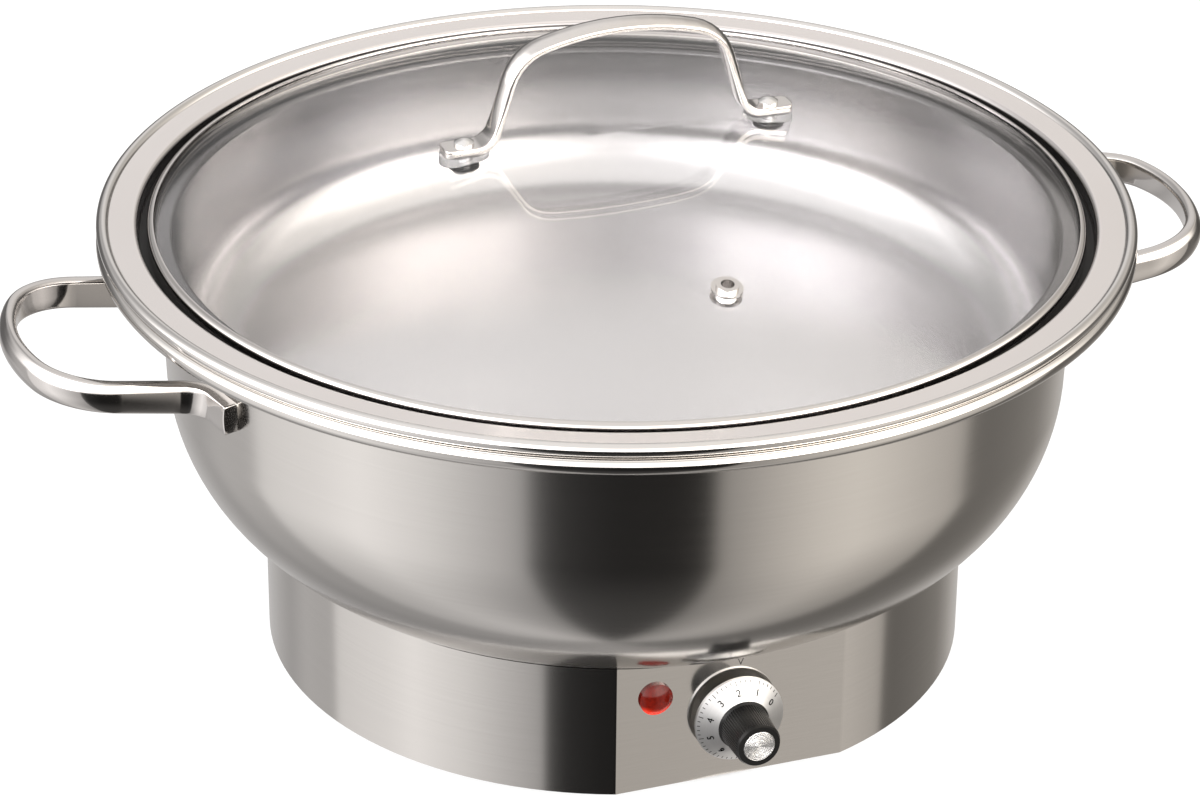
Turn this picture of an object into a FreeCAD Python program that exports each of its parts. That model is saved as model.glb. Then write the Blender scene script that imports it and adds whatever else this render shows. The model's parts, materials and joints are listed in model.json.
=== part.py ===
import FreeCAD, Part
import math
import os
import re
import Sketcher

Vector = FreeCAD.Vector
UP = Vector(0, 0, 1)

# Driving sizes in millimetres, angles in degrees.
# The control panel faces -Y, the side handles lie along X and the feet stand on Z = 0.
SIZES = {
    # Feet and bottom plate
    "foot_height": 5.5,
    "foot_radius": 11.0,
    "foot_taper": 1.5,
    "foot_recess": 3.2,
    "foot_circle": 95.0,
    "plate_thickness": 1.5,
    "plate_recess": 0.5,
    "plate_gap": 0.4,
    "slot_start": 42.0,
    "slot_length": 30.0,
    "slot_width": 4.0,
    "slot_count": 12,
    # Small screws and nuts
    "screw_radius": 2.0,
    "screw_head_radius": 3.8,
    "screw_head_height": 2.2,
    "screw_reach": 2.5,
    "nut_width": 7.0,
    "nut_height": 3.2,
    "thread_gap": 0.1,
    "hole_gap": 0.25,
    # Base shell and the brackets that hang it from the bowl
    "base_wall": 1.0,
    "panel_width": 91.24,
    "seat_gap": 0.3,
    "corner_count": 4,
    "corner_turn": 45.0,
    "bracket_thickness": 1.5,
    "bracket_width": 16.0,
    "bracket_margin": 6.0,
    "plate_screw_inset": 11.0,
    "stud_space": 9.5,
    "stud_radius": 2.5,
    "stud_length": 10.0,
    "stud_nut_width": 8.0,
    "stud_nut_height": 4.0,
    # Water bowl
    "bowl_radius": 175.7,
    "flat_margin": 5.2,
    "bowl_draft": 1.8,
    "bowl_wall": 1.0,
    "bowl_height": 132.0,
    "bead_radius": 3.5,
    "bead_set": 0.7,
    "bead_overhang": 0.3,
    # Food pan
    "rim_gap": 0.3,
    "curl_radius": 2.45,
    "water_gap": 5.5,
    "ledge_gap": 0.5,
    "ledge_width": 14.3,
    "flange_width": 15.7,
    "flange_drop": 1.9,
    "pan_wall": 1.0,
    "pan_bend": 1.0,
    "pan_draft": 2.0,
    "pan_corner": 25.0,
    "pan_depth": 65.0,
    # Side handles
    "handle_drop": 31.4,
    "handle_tilt": 7.7,
    "handle_turn": -2.6,
    "handle_thickness": 6.4,
    "handle_breadth": 11.8,
    "handle_edge": 3.6,
    "tab_crown": 0.6,
    "tab_turn": 19.3,
    "tab_length": 11.0,
    "tab_bend": 12.0,
    "tab_bite": 0.5,
    "weld_gap": 0.1,
    "arm_turn": 69.7,
    "arm_length": 23.5,
    "bow_corner": 30.0,
    "bow_turn": 20.0,
    # Lid
    "lid_gap": 3.5,
    "band_height": 7.2,
    "band_wall": 0.8,
    "band_lip": 2.6,
    "band_seat": 4.3,
    "lid_rest_gap": 0.3,
    "glass_thickness": 4.0,
    "glass_gap": 0.3,
    "glass_sphere": 496.0,
    "gasket_gap": 0.15,
    # Lid handle and its fasteners
    "rivet_offset": 61.7,
    "rivet_radius": 2.5,
    "rivet_head_radius": 3.9,
    "rivet_head_height": 1.4,
    "strap_width": 11.0,
    "strap_thickness": 4.2,
    "strap_edge": 2.0,
    "strap_toe": 8.8,
    "strap_heel": 3.7,
    "toe_round": 2.5,
    "knee_radius": 8.0,
    "leg_lean": 73.0,
    "leg_length": 20.0,
    "shoulder_radius": 20.0,
    "crown_turn": 16.0,
    "pad_thickness": 2.7,
    "pad_length": 19.5,
    "pad_width": 12.5,
    "pad_flat": 0.5,
    "washer_radius": 6.0,
    "washer_thickness": 1.4,
    "cap_nut_radius": 4.5,
    "cap_nut_height": 2.0,
    "cap_nut_round": 0.8,
    "cap_nut_end": 0.7,
    # Vent eyelet in the lid
    "vent_radius": 117.0,
    "vent_bore": 2.5,
    "vent_collar": 4.3,
    "vent_flange": 6.0,
    "vent_flange_height": 0.9,
    "vent_collar_height": 2.4,
    "vent_tail_height": 1.4,
    "vent_fit": 0.15,
    # Heater
    "heater_radius": 80.0,
    "heater_thickness": 4.0,
    "element_radius": 60.0,
    "element_tube": 4.0,
    "element_bend": 12.0,
    "element_spread": 14.0,
    "element_tail": 22.0,
    "pin_radius": 2.0,
    "pin_length": 10.0,
    "heater_stud_radius": 3.0,
    "heater_nut_width": 10.0,
    "heater_nut_height": 5.0,
    "clamp_thickness": 2.0,
    "clamp_width": 20.0,
    "clamp_margin": 6.0,
    "touch_gap": 0.2,
    # Thermostat and its sensor
    "thermostat_width": 42.0,
    "thermostat_height": 25.0,
    "thermostat_depth": 28.0,
    "thermostat_floor_gap": 12.2,
    "thermostat_roof_gap": 5.4,
    "thermostat_back_gap": 10.6,
    "bush_radius": 5.0,
    "bush_length": 6.0,
    "bush_nut_width": 14.0,
    "bush_nut_height": 2.4,
    "shaft_radius": 3.0,
    "shaft_length": 20.0,
    "shaft_depth": 6.0,
    "shaft_fit": 0.05,
    "bulb_radius": 2.5,
    "bulb_length": 64.0,
    "bulb_space": 5.5,
    "capillary_radius": 1.0,
    "capillary_bend": 8.0,
    "capillary_inset": 6.0,
    "capillary_loop": 22.0,
    "clip_thickness": 1.0,
    "clip_width": 12.0,
    "clip_wing": 8.0,
    # Overheat cutout
    "cutout_radius": 8.0,
    "cutout_height": 9.0,
    "cutout_space": 1.5,
    "cutout_tab_height": 7.0,
    "cutout_tab_width": 6.3,
    "cutout_tab_thickness": 0.8,
    "cutout_tab_offset": 4.0,
    # Terminal block
    "block_length": 40.0,
    "block_width": 18.0,
    "block_height": 14.0,
    "block_place": 96.0,
    "block_hole_offset": 15.0,
    "block_head_sink": 3.0,
    # Pilot lamp
    "lamp_space": 3.7,
    "lamp_drop": 5.0,
    "lens_radius": 6.5,
    "lens_rim": 1.2,
    "lens_rise": 2.6,
    "lamp_radius": 4.5,
    "lamp_length": 24.0,
    "lamp_nut_width": 13.0,
    "lamp_nut_height": 3.0,
    # Supply gland
    "gland_lift": 17.0,
    "gland_bore": 4.0,
    "gland_thread": 8.0,
    "gland_flange": 11.0,
    "gland_flange_height": 3.0,
    "gland_dome_radius": 9.5,
    "gland_dome_height": 9.0,
    "gland_dome_round": 3.0,
    "gland_tail": 9.0,
    "gland_nut_width": 22.0,
    "gland_nut_height": 4.0,
    # Knob and dial
    "knob_offset": 2.0,
    "dial_lift": 3.2,
    "dial_radius": 17.7,
    "dial_edge": 1.3,
    "dial_cone": 4.6,
    "dial_shell": 1.2,
    "knob_base_radius": 10.2,
    "knob_end_radius": 8.7,
    "knob_length": 15.8,
    "knob_flare": 0.9,
    "cap_radius": 6.2,
    "cap_height": 1.2,
    "cap_proud": 0.25,
    "set_screw_radius": 1.5,
    "set_screw_depth": 5.5,
    "set_screw_lift": 6.0,
    "part_gap": 0.05,
    # Internal wires
    "wire_radius": 1.2,
    "wire_bend": 6.0,
    "wire_level": 18.0,
    "wire_reach": 11.0,
    "wire_end_gap": 0.1,
}

# Levels and places that follow from the driving sizes.
PLACES = {
    "plate_top": "foot_height + plate_thickness",
    "base_edge": "foot_height - plate_recess",
    "knob_level": "plate_top + thermostat_floor_gap + thermostat_height / 2",
    "bowl_floor": "plate_top + thermostat_floor_gap + thermostat_height + thermostat_roof_gap",
    "lamp_level": "bowl_floor - lamp_drop",
    "lamp_offset": "thermostat_width / 2 - knob_offset + lamp_space + lamp_nut_width / sqrt(3)",
    "gland_level": "plate_top + gland_lift",
    "stud_circle": "heater_radius + stud_space + stud_radius",
    "bulb_place": "heater_radius + bulb_space + bulb_radius",
    "clip_back": "bulb_place + bulb_radius + touch_gap + clip_thickness",
    "panel_distance": "clip_back + thermostat_back_gap + thermostat_depth + base_wall",
    "base_radius": "sqrt(panel_distance ^ 2 + (panel_width / 2) ^ 2)",
    "shell_inside": "base_radius - base_wall",
    "panel_inside": "panel_distance - base_wall",
    "bracket_back": "sqrt(shell_inside ^ 2 - (bracket_width / 2) ^ 2) - seat_gap",
    "plate_screw_circle": "base_radius - plate_screw_inset",
    "bowl_flat": "stud_circle + stud_radius + flat_margin",
    "bowl_corner": "bowl_radius - bowl_flat",
    "bowl_wall_start": "bowl_floor + bowl_corner",
    "bowl_top_radius": "bowl_radius + bowl_draft",
    "bead_top": "bowl_floor + bowl_height",
    "bead_level": "bead_top - bead_radius",
    "flange_bottom": "bead_top - 2 * bead_radius + bead_set",
    "flange_top": "flange_bottom + bowl_wall",
    "pan_mouth": "bowl_top_radius - bowl_wall - water_gap - pan_wall",
    "step_radius": "pan_mouth + ledge_width",
    "rim_radius": "step_radius + flange_width",
    "bead_centre": "rim_radius + bead_overhang - bead_radius",
    "rim_top": "bead_top + rim_gap + 2 * curl_radius",
    "curl_centre": "rim_radius - curl_radius",
    "ledge_top": "flange_top + ledge_gap + pan_wall",
    "step_top": "rim_top - flange_drop",
    "pan_floor": "rim_top - pan_depth",
    "pan_foot_radius": "pan_mouth - pan_draft",
    "pan_flat": "pan_foot_radius - pan_corner",
    "curl_inside": "curl_centre - curl_radius",
    "flange_slope": "flange_drop / (curl_centre - step_radius - pan_bend - pan_wall)",
    "handle_level": "bead_top - handle_drop",
    "band_radius": "step_radius - lid_gap",
    "band_bottom": "ledge_top + lid_rest_gap",
    "band_top": "band_bottom + band_height",
    "lip_radius": "band_radius - band_lip",
    "seat_radius": "band_radius - band_seat",
    "glass_radius": "band_radius - band_wall - glass_gap",
    "glass_contact": "band_top - band_wall - glass_gap",
    "glass_centre": "glass_contact - sqrt(glass_sphere ^ 2 - lip_radius ^ 2)",
    "glass_top": "glass_centre + glass_sphere",
    "inner_sphere": "glass_sphere - glass_thickness",
    "glass_at_rivet": "glass_centre + sqrt(glass_sphere ^ 2 - rivet_offset ^ 2)",
    "glass_under_rivet": "glass_centre + sqrt(inner_sphere ^ 2 - rivet_offset ^ 2)",
    "strap_bottom": "glass_at_rivet + pad_thickness",
    "strap_middle": "strap_bottom + strap_thickness / 2",
    "strap_top": "strap_bottom + strap_thickness",
    "head_seat": "strap_bottom + strap_edge",
    "washer_bottom": "glass_under_rivet - washer_thickness",
    "vent_tilt": "asin(vent_radius / glass_sphere)",
    "vent_level": "glass_centre + sqrt(glass_sphere ^ 2 - vent_radius ^ 2)",
    "heater_bottom": "bowl_floor - heater_thickness",
    "element_level": "heater_bottom - touch_gap - element_tube",
    "element_bend_place": "sqrt((element_radius + element_bend) ^ 2 - (element_spread + element_bend) ^ 2)",
    "element_tail_end": "element_bend_place + element_tail",
    "clamp_top": "element_level - element_tube - touch_gap",
    "clamp_bottom": "clamp_top - clamp_thickness",
    "clamp_half": "element_radius + element_tube + clamp_margin",
    "bulb_level": "bowl_floor - touch_gap - bulb_radius",
    "cutout_place": "heater_radius + cutout_space + cutout_radius",
    "dial_front": "dial_lift + dial_edge + dial_cone",
    "knob_front": "dial_front + knob_length",
    # Side handle centre line, from the tab on the bowl wall out to the middle of the bow
    "wall_slope": "bowl_draft / (flange_bottom - bowl_wall_start)",
    "wall_at_tab": "bowl_radius + wall_slope * (handle_level - bowl_wall_start)",
    "tab_radius": "wall_at_tab + handle_thickness / 2 - tab_bite",
    "arm_angle": "tab_turn + arm_turn",
    "tab_end_x": "tab_radius * cos(tab_turn) - tab_length / 2 * sin(tab_turn)",
    "tab_end_y": "tab_radius * sin(tab_turn) + tab_length / 2 * cos(tab_turn)",
    "tab_start_x": "tab_radius * cos(tab_turn) + tab_length / 2 * sin(tab_turn)",
    "tab_start_y": "tab_radius * sin(tab_turn) - tab_length / 2 * cos(tab_turn)",
    "arm_foot_x": "tab_start_x + tab_bend * (cos(tab_turn) - cos(arm_angle))",
    "arm_foot_y": "tab_start_y + tab_bend * (sin(tab_turn) - sin(arm_angle))",
    "arm_head_x": "arm_foot_x + arm_length * sin(arm_angle)",
    "arm_head_y": "arm_foot_y - arm_length * cos(arm_angle)",
    "corner_centre_x": "arm_head_x - bow_corner * cos(arm_angle)",
    "corner_centre_y": "arm_head_y - bow_corner * sin(arm_angle)",
    "bow_end_x": "corner_centre_x + bow_corner * cos(bow_turn)",
    "bow_end_y": "corner_centre_y + bow_corner * sin(bow_turn)",
    "bow_radius": "bow_corner + corner_centre_y / sin(bow_turn)",
    "bow_middle": "corner_centre_x - (bow_radius - bow_corner) * cos(bow_turn) + bow_radius",
    "tilt_shift": "tab_radius * (1 - cos(handle_tilt))",
    "tilt_level": "handle_level - tab_radius * sin(handle_tilt)",
    "bow_place": "tilt_shift + bow_middle * cos(handle_tilt)",
    "bow_level": "tilt_level + bow_middle * sin(handle_tilt)",
    "tab_place": "tilt_shift + tab_end_x * cos(handle_tilt)",
    "tab_level": "tilt_level + tab_end_x * sin(handle_tilt)",
    # Lid handle centre line, from the toe on the glass up to the middle of the crown
    "heel_x": "rivet_offset - strap_heel",
    "leg_foot_x": "heel_x - knee_radius * sin(leg_lean)",
    "leg_foot_z": "strap_middle + knee_radius * (1 - cos(leg_lean))",
    "leg_head_x": "leg_foot_x - leg_length * cos(leg_lean)",
    "leg_head_z": "leg_foot_z + leg_length * sin(leg_lean)",
    "crown_end_x": "leg_head_x - shoulder_radius * (sin(leg_lean) - sin(crown_turn))",
    "crown_end_z": "leg_head_z - shoulder_radius * (cos(leg_lean) - cos(crown_turn))",
    "crown_radius": "crown_end_x / sin(crown_turn)",
    "crown_top": "crown_end_z + crown_radius * (1 - cos(crown_turn))",
}

doc = FreeCAD.newDocument("ChafingDish")


def make_sheet(name, rows, write):
    """A sheet with one named cell for each row"""
    sheet = doc.addObject("Spreadsheet::Sheet", name)
    for number, (alias, content) in enumerate(rows.items(), start=1):
        sheet.set(f"A{number}", alias)
        sheet.set(f"B{number}", write(content))
        sheet.setAlias(f"B{number}", alias)
    doc.recompute()
    return sheet


def formula(text):
    """An expression in which each size or place names its cell"""
    def cell(match):
        word = match.group(0)
        if word in SIZES:
            return "Sizes." + word
        if word in PLACES:
            return "Places." + word
        return word
    return re.sub(r"[a-z][a-z_0-9]*", cell, str(text))


sizes = make_sheet("Sizes", SIZES, str)
places = make_sheet("Places", PLACES, lambda text: "=" + formula(text))


def value(text):
    """The number that an expression gives"""
    result = places.evalExpression(formula(text))
    return float(getattr(result, "Value", result))


def bind(target, path, text):
    target.setExpression(path, formula(text))


def new_body(label):
    body = doc.addObject("PartDesign::Body", label)
    body.Label = label
    return body


def origin_feature(body, role):
    return next(item for item in body.Origin.OriginFeatures if item.Role == role)


def new_sketch(body, role, name, lift=None):
    """A sketch on one of the body's origin planes, moved along the plane's normal by lift"""
    sketch = body.newObject("Sketcher::SketchObject", f"{body.Name}_{name}")
    sketch.AttachmentSupport = [(origin_feature(body, role), "")]
    sketch.MapMode = "FlatFace"
    if lift is not None:
        bind(sketch, "AttachmentOffset.Base.z", lift)
    return sketch


def hold(sketch, geometry, end, x, y):
    """Hold one end of a line or arc, or a circle's centre, at x and y"""
    for kind, axis, text in (("DistanceX", -2, x), ("DistanceY", -1, y)):
        amount = value(text)
        if str(text) == "0":
            sketch.addConstraint(Sketcher.Constraint("PointOnObject", geometry, end, axis))
        else:
            index = sketch.addConstraint(Sketcher.Constraint(kind, -1, 1, geometry, end, amount))
            bind(sketch, f"Constraints[{index}]", text)


def arc_between(start, end, radius):
    """The shorter arc from start to end, to the left for a positive radius, else to the right"""
    chord = end - start
    middle = (start + end) * 0.5
    rise = math.sqrt(max(radius * radius - chord.Length ** 2 / 4, 0.0))
    left = Vector(-chord.y, chord.x, 0).normalize()
    centre = middle + left * math.copysign(rise, radius)
    first, last = (start, end) if radius > 0 else (end, start)
    angles = [math.atan2(point.y - centre.y, point.x - centre.x) for point in (first, last)]
    return Part.ArcOfCircle(Part.Circle(centre, UP, abs(radius)), *angles)


def trace(sketch, corners, closed=True):
    """Lines through corners (x, y), with an arc instead from each corner (x, y, radius)"""
    points = [Vector(value(corner[0]), value(corner[1]), 0) for corner in corners]
    count = len(corners) if closed else len(corners) - 1
    ends = []
    for number in range(count):
        start = points[number]
        end = points[(number + 1) % len(points)]
        if len(corners[number]) == 2:
            geometry = sketch.addGeometry(Part.LineSegment(start, end), False)
            ends.append((geometry, 1, 2))
        else:
            text = corners[number][2]
            radius = value(text)
            geometry = sketch.addGeometry(arc_between(start, end, radius), False)
            ends.append((geometry, 1, 2) if radius > 0 else (geometry, 2, 1))
            index = sketch.addConstraint(Sketcher.Constraint("Radius", geometry, abs(radius)))
            bind(sketch, f"Constraints[{index}]", text if radius > 0 else f"-({text})")
    for number, (geometry, first, last) in enumerate(ends):
        hold(sketch, geometry, first, corners[number][0], corners[number][1])
        next_geometry, next_first, _ = ends[(number + 1) % count]
        if closed or number + 1 < count:
            joined = Sketcher.Constraint("Coincident", geometry, last, next_geometry, next_first)
            sketch.addConstraint(joined)
        else:
            hold(sketch, geometry, last, corners[-1][0], corners[-1][1])


def ring(sketch, x, y, radius):
    centre = Vector(value(x), value(y), 0)
    geometry = sketch.addGeometry(Part.Circle(centre, UP, value(radius)), False)
    hold(sketch, geometry, 3, x, y)
    index = sketch.addConstraint(Sketcher.Constraint("Radius", geometry, value(radius)))
    bind(sketch, f"Constraints[{index}]", radius)


def hexagon(sketch, width):
    """A hexagon about the origin, width across its flats"""
    side = f"({width}) / sqrt(3)"
    corners = [(f"{side} * cos({60 * step})", f"{side} * sin({60 * step})") for step in range(6)]
    corners[0] = (side, "0")
    corners[3] = (f"-{side}", "0")
    trace(sketch, corners)


def revolve(body, sketch, kind="Revolution"):
    feature = body.newObject(f"PartDesign::{kind}", f"{sketch.Name}_{kind}")
    feature.Profile = sketch
    feature.ReferenceAxis = (sketch, ["V_Axis"])
    feature.Angle = 360
    doc.recompute()
    return feature


def pad(body, sketch, length, both=False, backwards=False):
    feature = body.newObject("PartDesign::Pad", f"{sketch.Name}_Pad")
    feature.Profile = sketch
    bind(feature, "Length", length)
    feature.Midplane = both
    feature.Reversed = backwards
    doc.recompute()
    return feature


def pocket(body, sketch, backwards=False, length=None):
    """A cut right through, or length deep; a cut that takes nothing away is an error"""
    before = body.Shape.Volume
    feature = body.newObject("PartDesign::Pocket", f"{sketch.Name}_Pocket")
    feature.Profile = sketch
    feature.Reversed = backwards
    if length is None:
        feature.Type = "ThroughAll"
    else:
        bind(feature, "Length", length)
    doc.recompute()
    if body.Shape.Volume >= before:
        raise RuntimeError(f"{feature.Name} cuts nothing")
    return feature


def groove(body, sketch):
    before = body.Shape.Volume
    feature = revolve(body, sketch, "Groove")
    if body.Shape.Volume >= before:
        raise RuntimeError(f"{feature.Name} cuts nothing")
    return feature


def around(body, features, count):
    """Repeat features about the body's Z axis"""
    pattern = body.newObject("PartDesign::PolarPattern", f"{body.Name}_Around")
    pattern.Originals = features
    pattern.Axis = (origin_feature(body, "Z_Axis"), [""])
    pattern.Angle = 360
    bind(pattern, "Occurrences", count)
    body.Tip = pattern
    doc.recompute()
    return pattern


def sweep(body, section, path, last_section=None):
    """A section carried along a path, turning on the way into the last section if there is one"""
    feature = body.newObject("PartDesign::AdditivePipe", f"{body.Name}_Pipe")
    feature.Profile = section
    feature.Spine = path
    if last_section is not None:
        feature.Transformation = "Multisection"
        feature.Sections = [(last_section, [""])]
    doc.recompute()
    return feature


def mirror(body, feature, role):
    mirrored = body.newObject("PartDesign::Mirrored", f"{body.Name}_Mirrored")
    mirrored.Originals = [feature]
    mirrored.MirrorPlane = (origin_feature(body, role), [""])
    body.Tip = mirrored
    doc.recompute()
    return mirrored


def move(thing, x="0", y="0", z="0", axis=UP, angle="0", path="Placement"):
    setattr(thing, path, FreeCAD.Placement(Vector(0, 0, 0), FreeCAD.Rotation(axis, 90)))
    bind(thing, f"{path}.Rotation.Angle", angle)
    for name, text in (("x", x), ("y", y), ("z", z)):
        bind(thing, f"{path}.Base.{name}", text)


def face_out(thing, distance, level, x="0"):
    """Turn a piece made along Z so that it points out of the front panel"""
    move(thing, x, f"-({distance})", level, Vector(1, 0, 0), "90")


def group(label, piece, spots):
    """A node of equal separate solids, one at each spot (x, y, z, turn about Z)"""
    copies = []
    for number, (x, y, z, turn) in enumerate(spots):
        copy = doc.addObject("App::Link", f"{label}_{number}")
        copy.LinkedObject = piece
        move(copy, x, y, z, UP, turn, "LinkPlacement")
        copies.append(copy)
    node = doc.addObject("Part::Compound", label)
    node.Label = label
    node.Links = copies
    return node


def corner_spots(radius, level):
    """Spots on the four corner bearings, at a radius and a level"""
    spots = []
    for number in range(SIZES["corner_count"]):
        turn = f"corner_turn + {number} * 360 / corner_count"
        spots.append((f"{radius} * cos({turn})", f"{radius} * sin({turn})", level, turn))
    return spots


def both_sides(offset, level):
    return [(offset, "0", level, "0"), (f"-{offset}", "0", level, "180")]


def solid_of_turn(label, corners):
    """A piece turned from one outline about its Z axis"""
    body = new_body(label)
    sketch = new_sketch(body, "XZ_Plane", "Outline")
    trace(sketch, corners)
    revolve(body, sketch)
    return body


def hex_nut(label, width, height, bore):
    body = new_body(label)
    flats = new_sketch(body, "XY_Plane", "Flats")
    hexagon(flats, width)
    pad(body, flats, height)
    hole = new_sketch(body, "XY_Plane", "Hole")
    ring(hole, "0", "0", bore)
    pocket(body, hole, backwards=True)
    return body


def headed_screw(label, grip):
    """A pan head screw that points up, with the underside of its head at Z = 0"""
    return solid_of_turn(label, [
        ("0", "-screw_head_height"),
        ("screw_head_radius * 0.6", "-screw_head_height"),
        ("screw_head_radius", "-screw_head_height * 0.5"),
        ("screw_head_radius", "0"),
        ("screw_radius", "0"),
        ("screw_radius", grip),
        ("0", grip),
    ])


def plain_cylinder(label, radius, bottom, top):
    return solid_of_turn(label, [("0", bottom), (radius, bottom), (radius, top), ("0", top)])


def panel_chord(sketch, radius, distance):
    """A round outline with a flat across its -Y side"""
    half = f"sqrt(({radius}) ^ 2 - ({distance}) ^ 2)"
    trace(sketch, [
        (f"-{half}", f"-({distance})"),
        (half, f"-({distance})", radius),
        ("0", radius, radius),
    ])


# Base

def bowl_space(sketch, gap):
    """The outline of the bowl's outside, moved out by a gap, up to where its wall starts"""
    trace(sketch, [
        ("0", f"bowl_floor - {gap}"),
        ("bowl_flat", f"bowl_floor - {gap}", f"bowl_corner + {gap}"),
        (f"bowl_radius + {gap}", "bowl_wall_start"),
        (f"bowl_radius + {gap}", "bowl_wall_start + bowl_corner"),
        ("0", "bowl_wall_start + bowl_corner"),
    ])


def base_shell():
    body = new_body("base_shell")
    outside = new_sketch(body, "XY_Plane", "Outside", "base_edge")
    panel_chord(outside, "base_radius", "panel_distance")
    panel_chord(outside, "shell_inside", "panel_inside")
    pad(body, outside, "bowl_wall_start - base_edge")
    seat = new_sketch(body, "XZ_Plane", "Seat")
    bowl_space(seat, "seat_gap")
    groove(body, seat)
    front = new_sketch(body, "XZ_Plane", "FrontHoles")
    ring(front, "knob_offset", "knob_level", "bush_radius + hole_gap")
    ring(front, "-lamp_offset", "lamp_level", "lamp_radius + hole_gap")
    pocket(body, front, backwards=True)
    rear = new_sketch(body, "XZ_Plane", "RearHole")
    ring(rear, "0", "gland_level", "gland_thread + hole_gap")
    pocket(body, rear)
    return body


def bottom_plate():
    body = new_body("bottom_plate")
    outside = new_sketch(body, "XY_Plane", "Outside", "foot_height")
    panel_chord(outside, "shell_inside - plate_gap", "panel_inside - plate_gap")
    pad(body, outside, "plate_thickness")
    holes = new_sketch(body, "XY_Plane", "ScrewHoles", "foot_height")
    for radius in ("foot_circle", "plate_screw_circle"):
        for x, y, level, turn in corner_spots(radius, "0"):
            ring(holes, x, y, "screw_radius + hole_gap")
    for side in ("block_hole_offset", "-block_hole_offset"):
        ring(holes, side, "block_place", "screw_radius + hole_gap")
    pocket(body, holes, backwards=True)
    slot = new_sketch(body, "XY_Plane", "VentSlot", "foot_height")
    trace(slot, [
        ("slot_start", "-slot_width / 2"),
        ("slot_start + slot_length", "-slot_width / 2", "slot_width / 2"),
        ("slot_start + slot_length + slot_width / 2", "0", "slot_width / 2"),
        ("slot_start + slot_length", "slot_width / 2"),
        ("slot_start", "slot_width / 2", "slot_width / 2"),
        ("slot_start - slot_width / 2", "0", "slot_width / 2"),
    ])
    cut = pocket(body, slot, backwards=True)
    around(body, [cut], "slot_count")
    return body


def rubber_feet():
    foot = solid_of_turn("foot", [
        ("screw_radius + hole_gap", "foot_recess"),
        ("screw_head_radius + hole_gap", "foot_recess"),
        ("screw_head_radius + hole_gap", "0"),
        ("foot_radius - foot_taper", "0"),
        ("foot_radius", "foot_height"),
        ("screw_radius + hole_gap", "foot_height"),
    ])
    return group("rubber_feet", foot, corner_spots("foot_circle", "0"))


def foot_screws():
    grip = "foot_height - foot_recess + plate_thickness + nut_height + screw_reach"
    screw = headed_screw("foot_screw", grip)
    return group("foot_screws", screw, corner_spots("foot_circle", "foot_recess"))


def foot_nuts():
    nut = hex_nut("foot_nut", "nut_width", "nut_height", "screw_radius + thread_gap")
    return group("foot_nuts", nut, corner_spots("foot_circle", "plate_top"))


def plate_screws():
    screw = headed_screw("plate_screw", "plate_thickness + bracket_thickness + screw_reach")
    return group("plate_screws", screw, corner_spots("plate_screw_circle", "foot_height"))


def shell_brackets():
    body = new_body("bracket")
    profile = new_sketch(body, "XZ_Plane", "Profile")
    trace(profile, [
        ("bracket_back", "plate_top"),
        ("bracket_back", "bowl_floor"),
        ("stud_circle - bracket_margin", "bowl_floor"),
        ("stud_circle - bracket_margin", "bowl_floor - bracket_thickness"),
        ("bracket_back - bracket_thickness", "bowl_floor - bracket_thickness"),
        ("bracket_back - bracket_thickness", "plate_top + bracket_thickness"),
        ("plate_screw_circle - bracket_margin", "plate_top + bracket_thickness"),
        ("plate_screw_circle - bracket_margin", "plate_top"),
    ])
    pad(body, profile, "bracket_width", both=True)
    holes = new_sketch(body, "XY_Plane", "Holes")
    ring(holes, "stud_circle", "0", "stud_radius + hole_gap")
    ring(holes, "plate_screw_circle", "0", "screw_radius + thread_gap")
    pocket(body, holes, backwards=True)
    return group("shell_brackets", body, corner_spots("0", "0"))


def bowl_studs():
    stud = plain_cylinder("stud", "stud_radius", "-stud_length", "0")
    return group("bowl_studs", stud, corner_spots("stud_circle", "bowl_floor"))


def stud_nuts():
    nut = hex_nut("stud_nut", "stud_nut_width", "stud_nut_height", "stud_radius + thread_gap")
    level = "bowl_floor - bracket_thickness - stud_nut_height"
    return group("stud_nuts", nut, corner_spots("stud_circle", level))


# Bowl and food pan

def water_bowl():
    chord_bottom = "sqrt(bead_radius ^ 2 - (bead_level - flange_bottom) ^ 2)"
    chord_top = "sqrt(bead_radius ^ 2 - (bead_level - flange_top) ^ 2)"
    return solid_of_turn("water_bowl", [
        ("0", "bowl_floor"),
        ("bowl_flat", "bowl_floor", "bowl_corner"),
        ("bowl_radius", "bowl_wall_start"),
        ("bowl_top_radius", "flange_bottom"),
        (f"bead_centre - {chord_bottom}", "flange_bottom", "bead_radius"),
        ("bead_centre + bead_radius", "bead_level", "bead_radius"),
        ("bead_centre", "bead_top", "bead_radius"),
        (f"bead_centre - {chord_top}", "flange_top"),
        ("bowl_top_radius - bowl_wall", "flange_top"),
        ("bowl_radius - bowl_wall", "bowl_wall_start", "-(bowl_corner - bowl_wall)"),
        ("bowl_flat", "bowl_floor + bowl_wall"),
        ("0", "bowl_floor + bowl_wall"),
    ])


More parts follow.
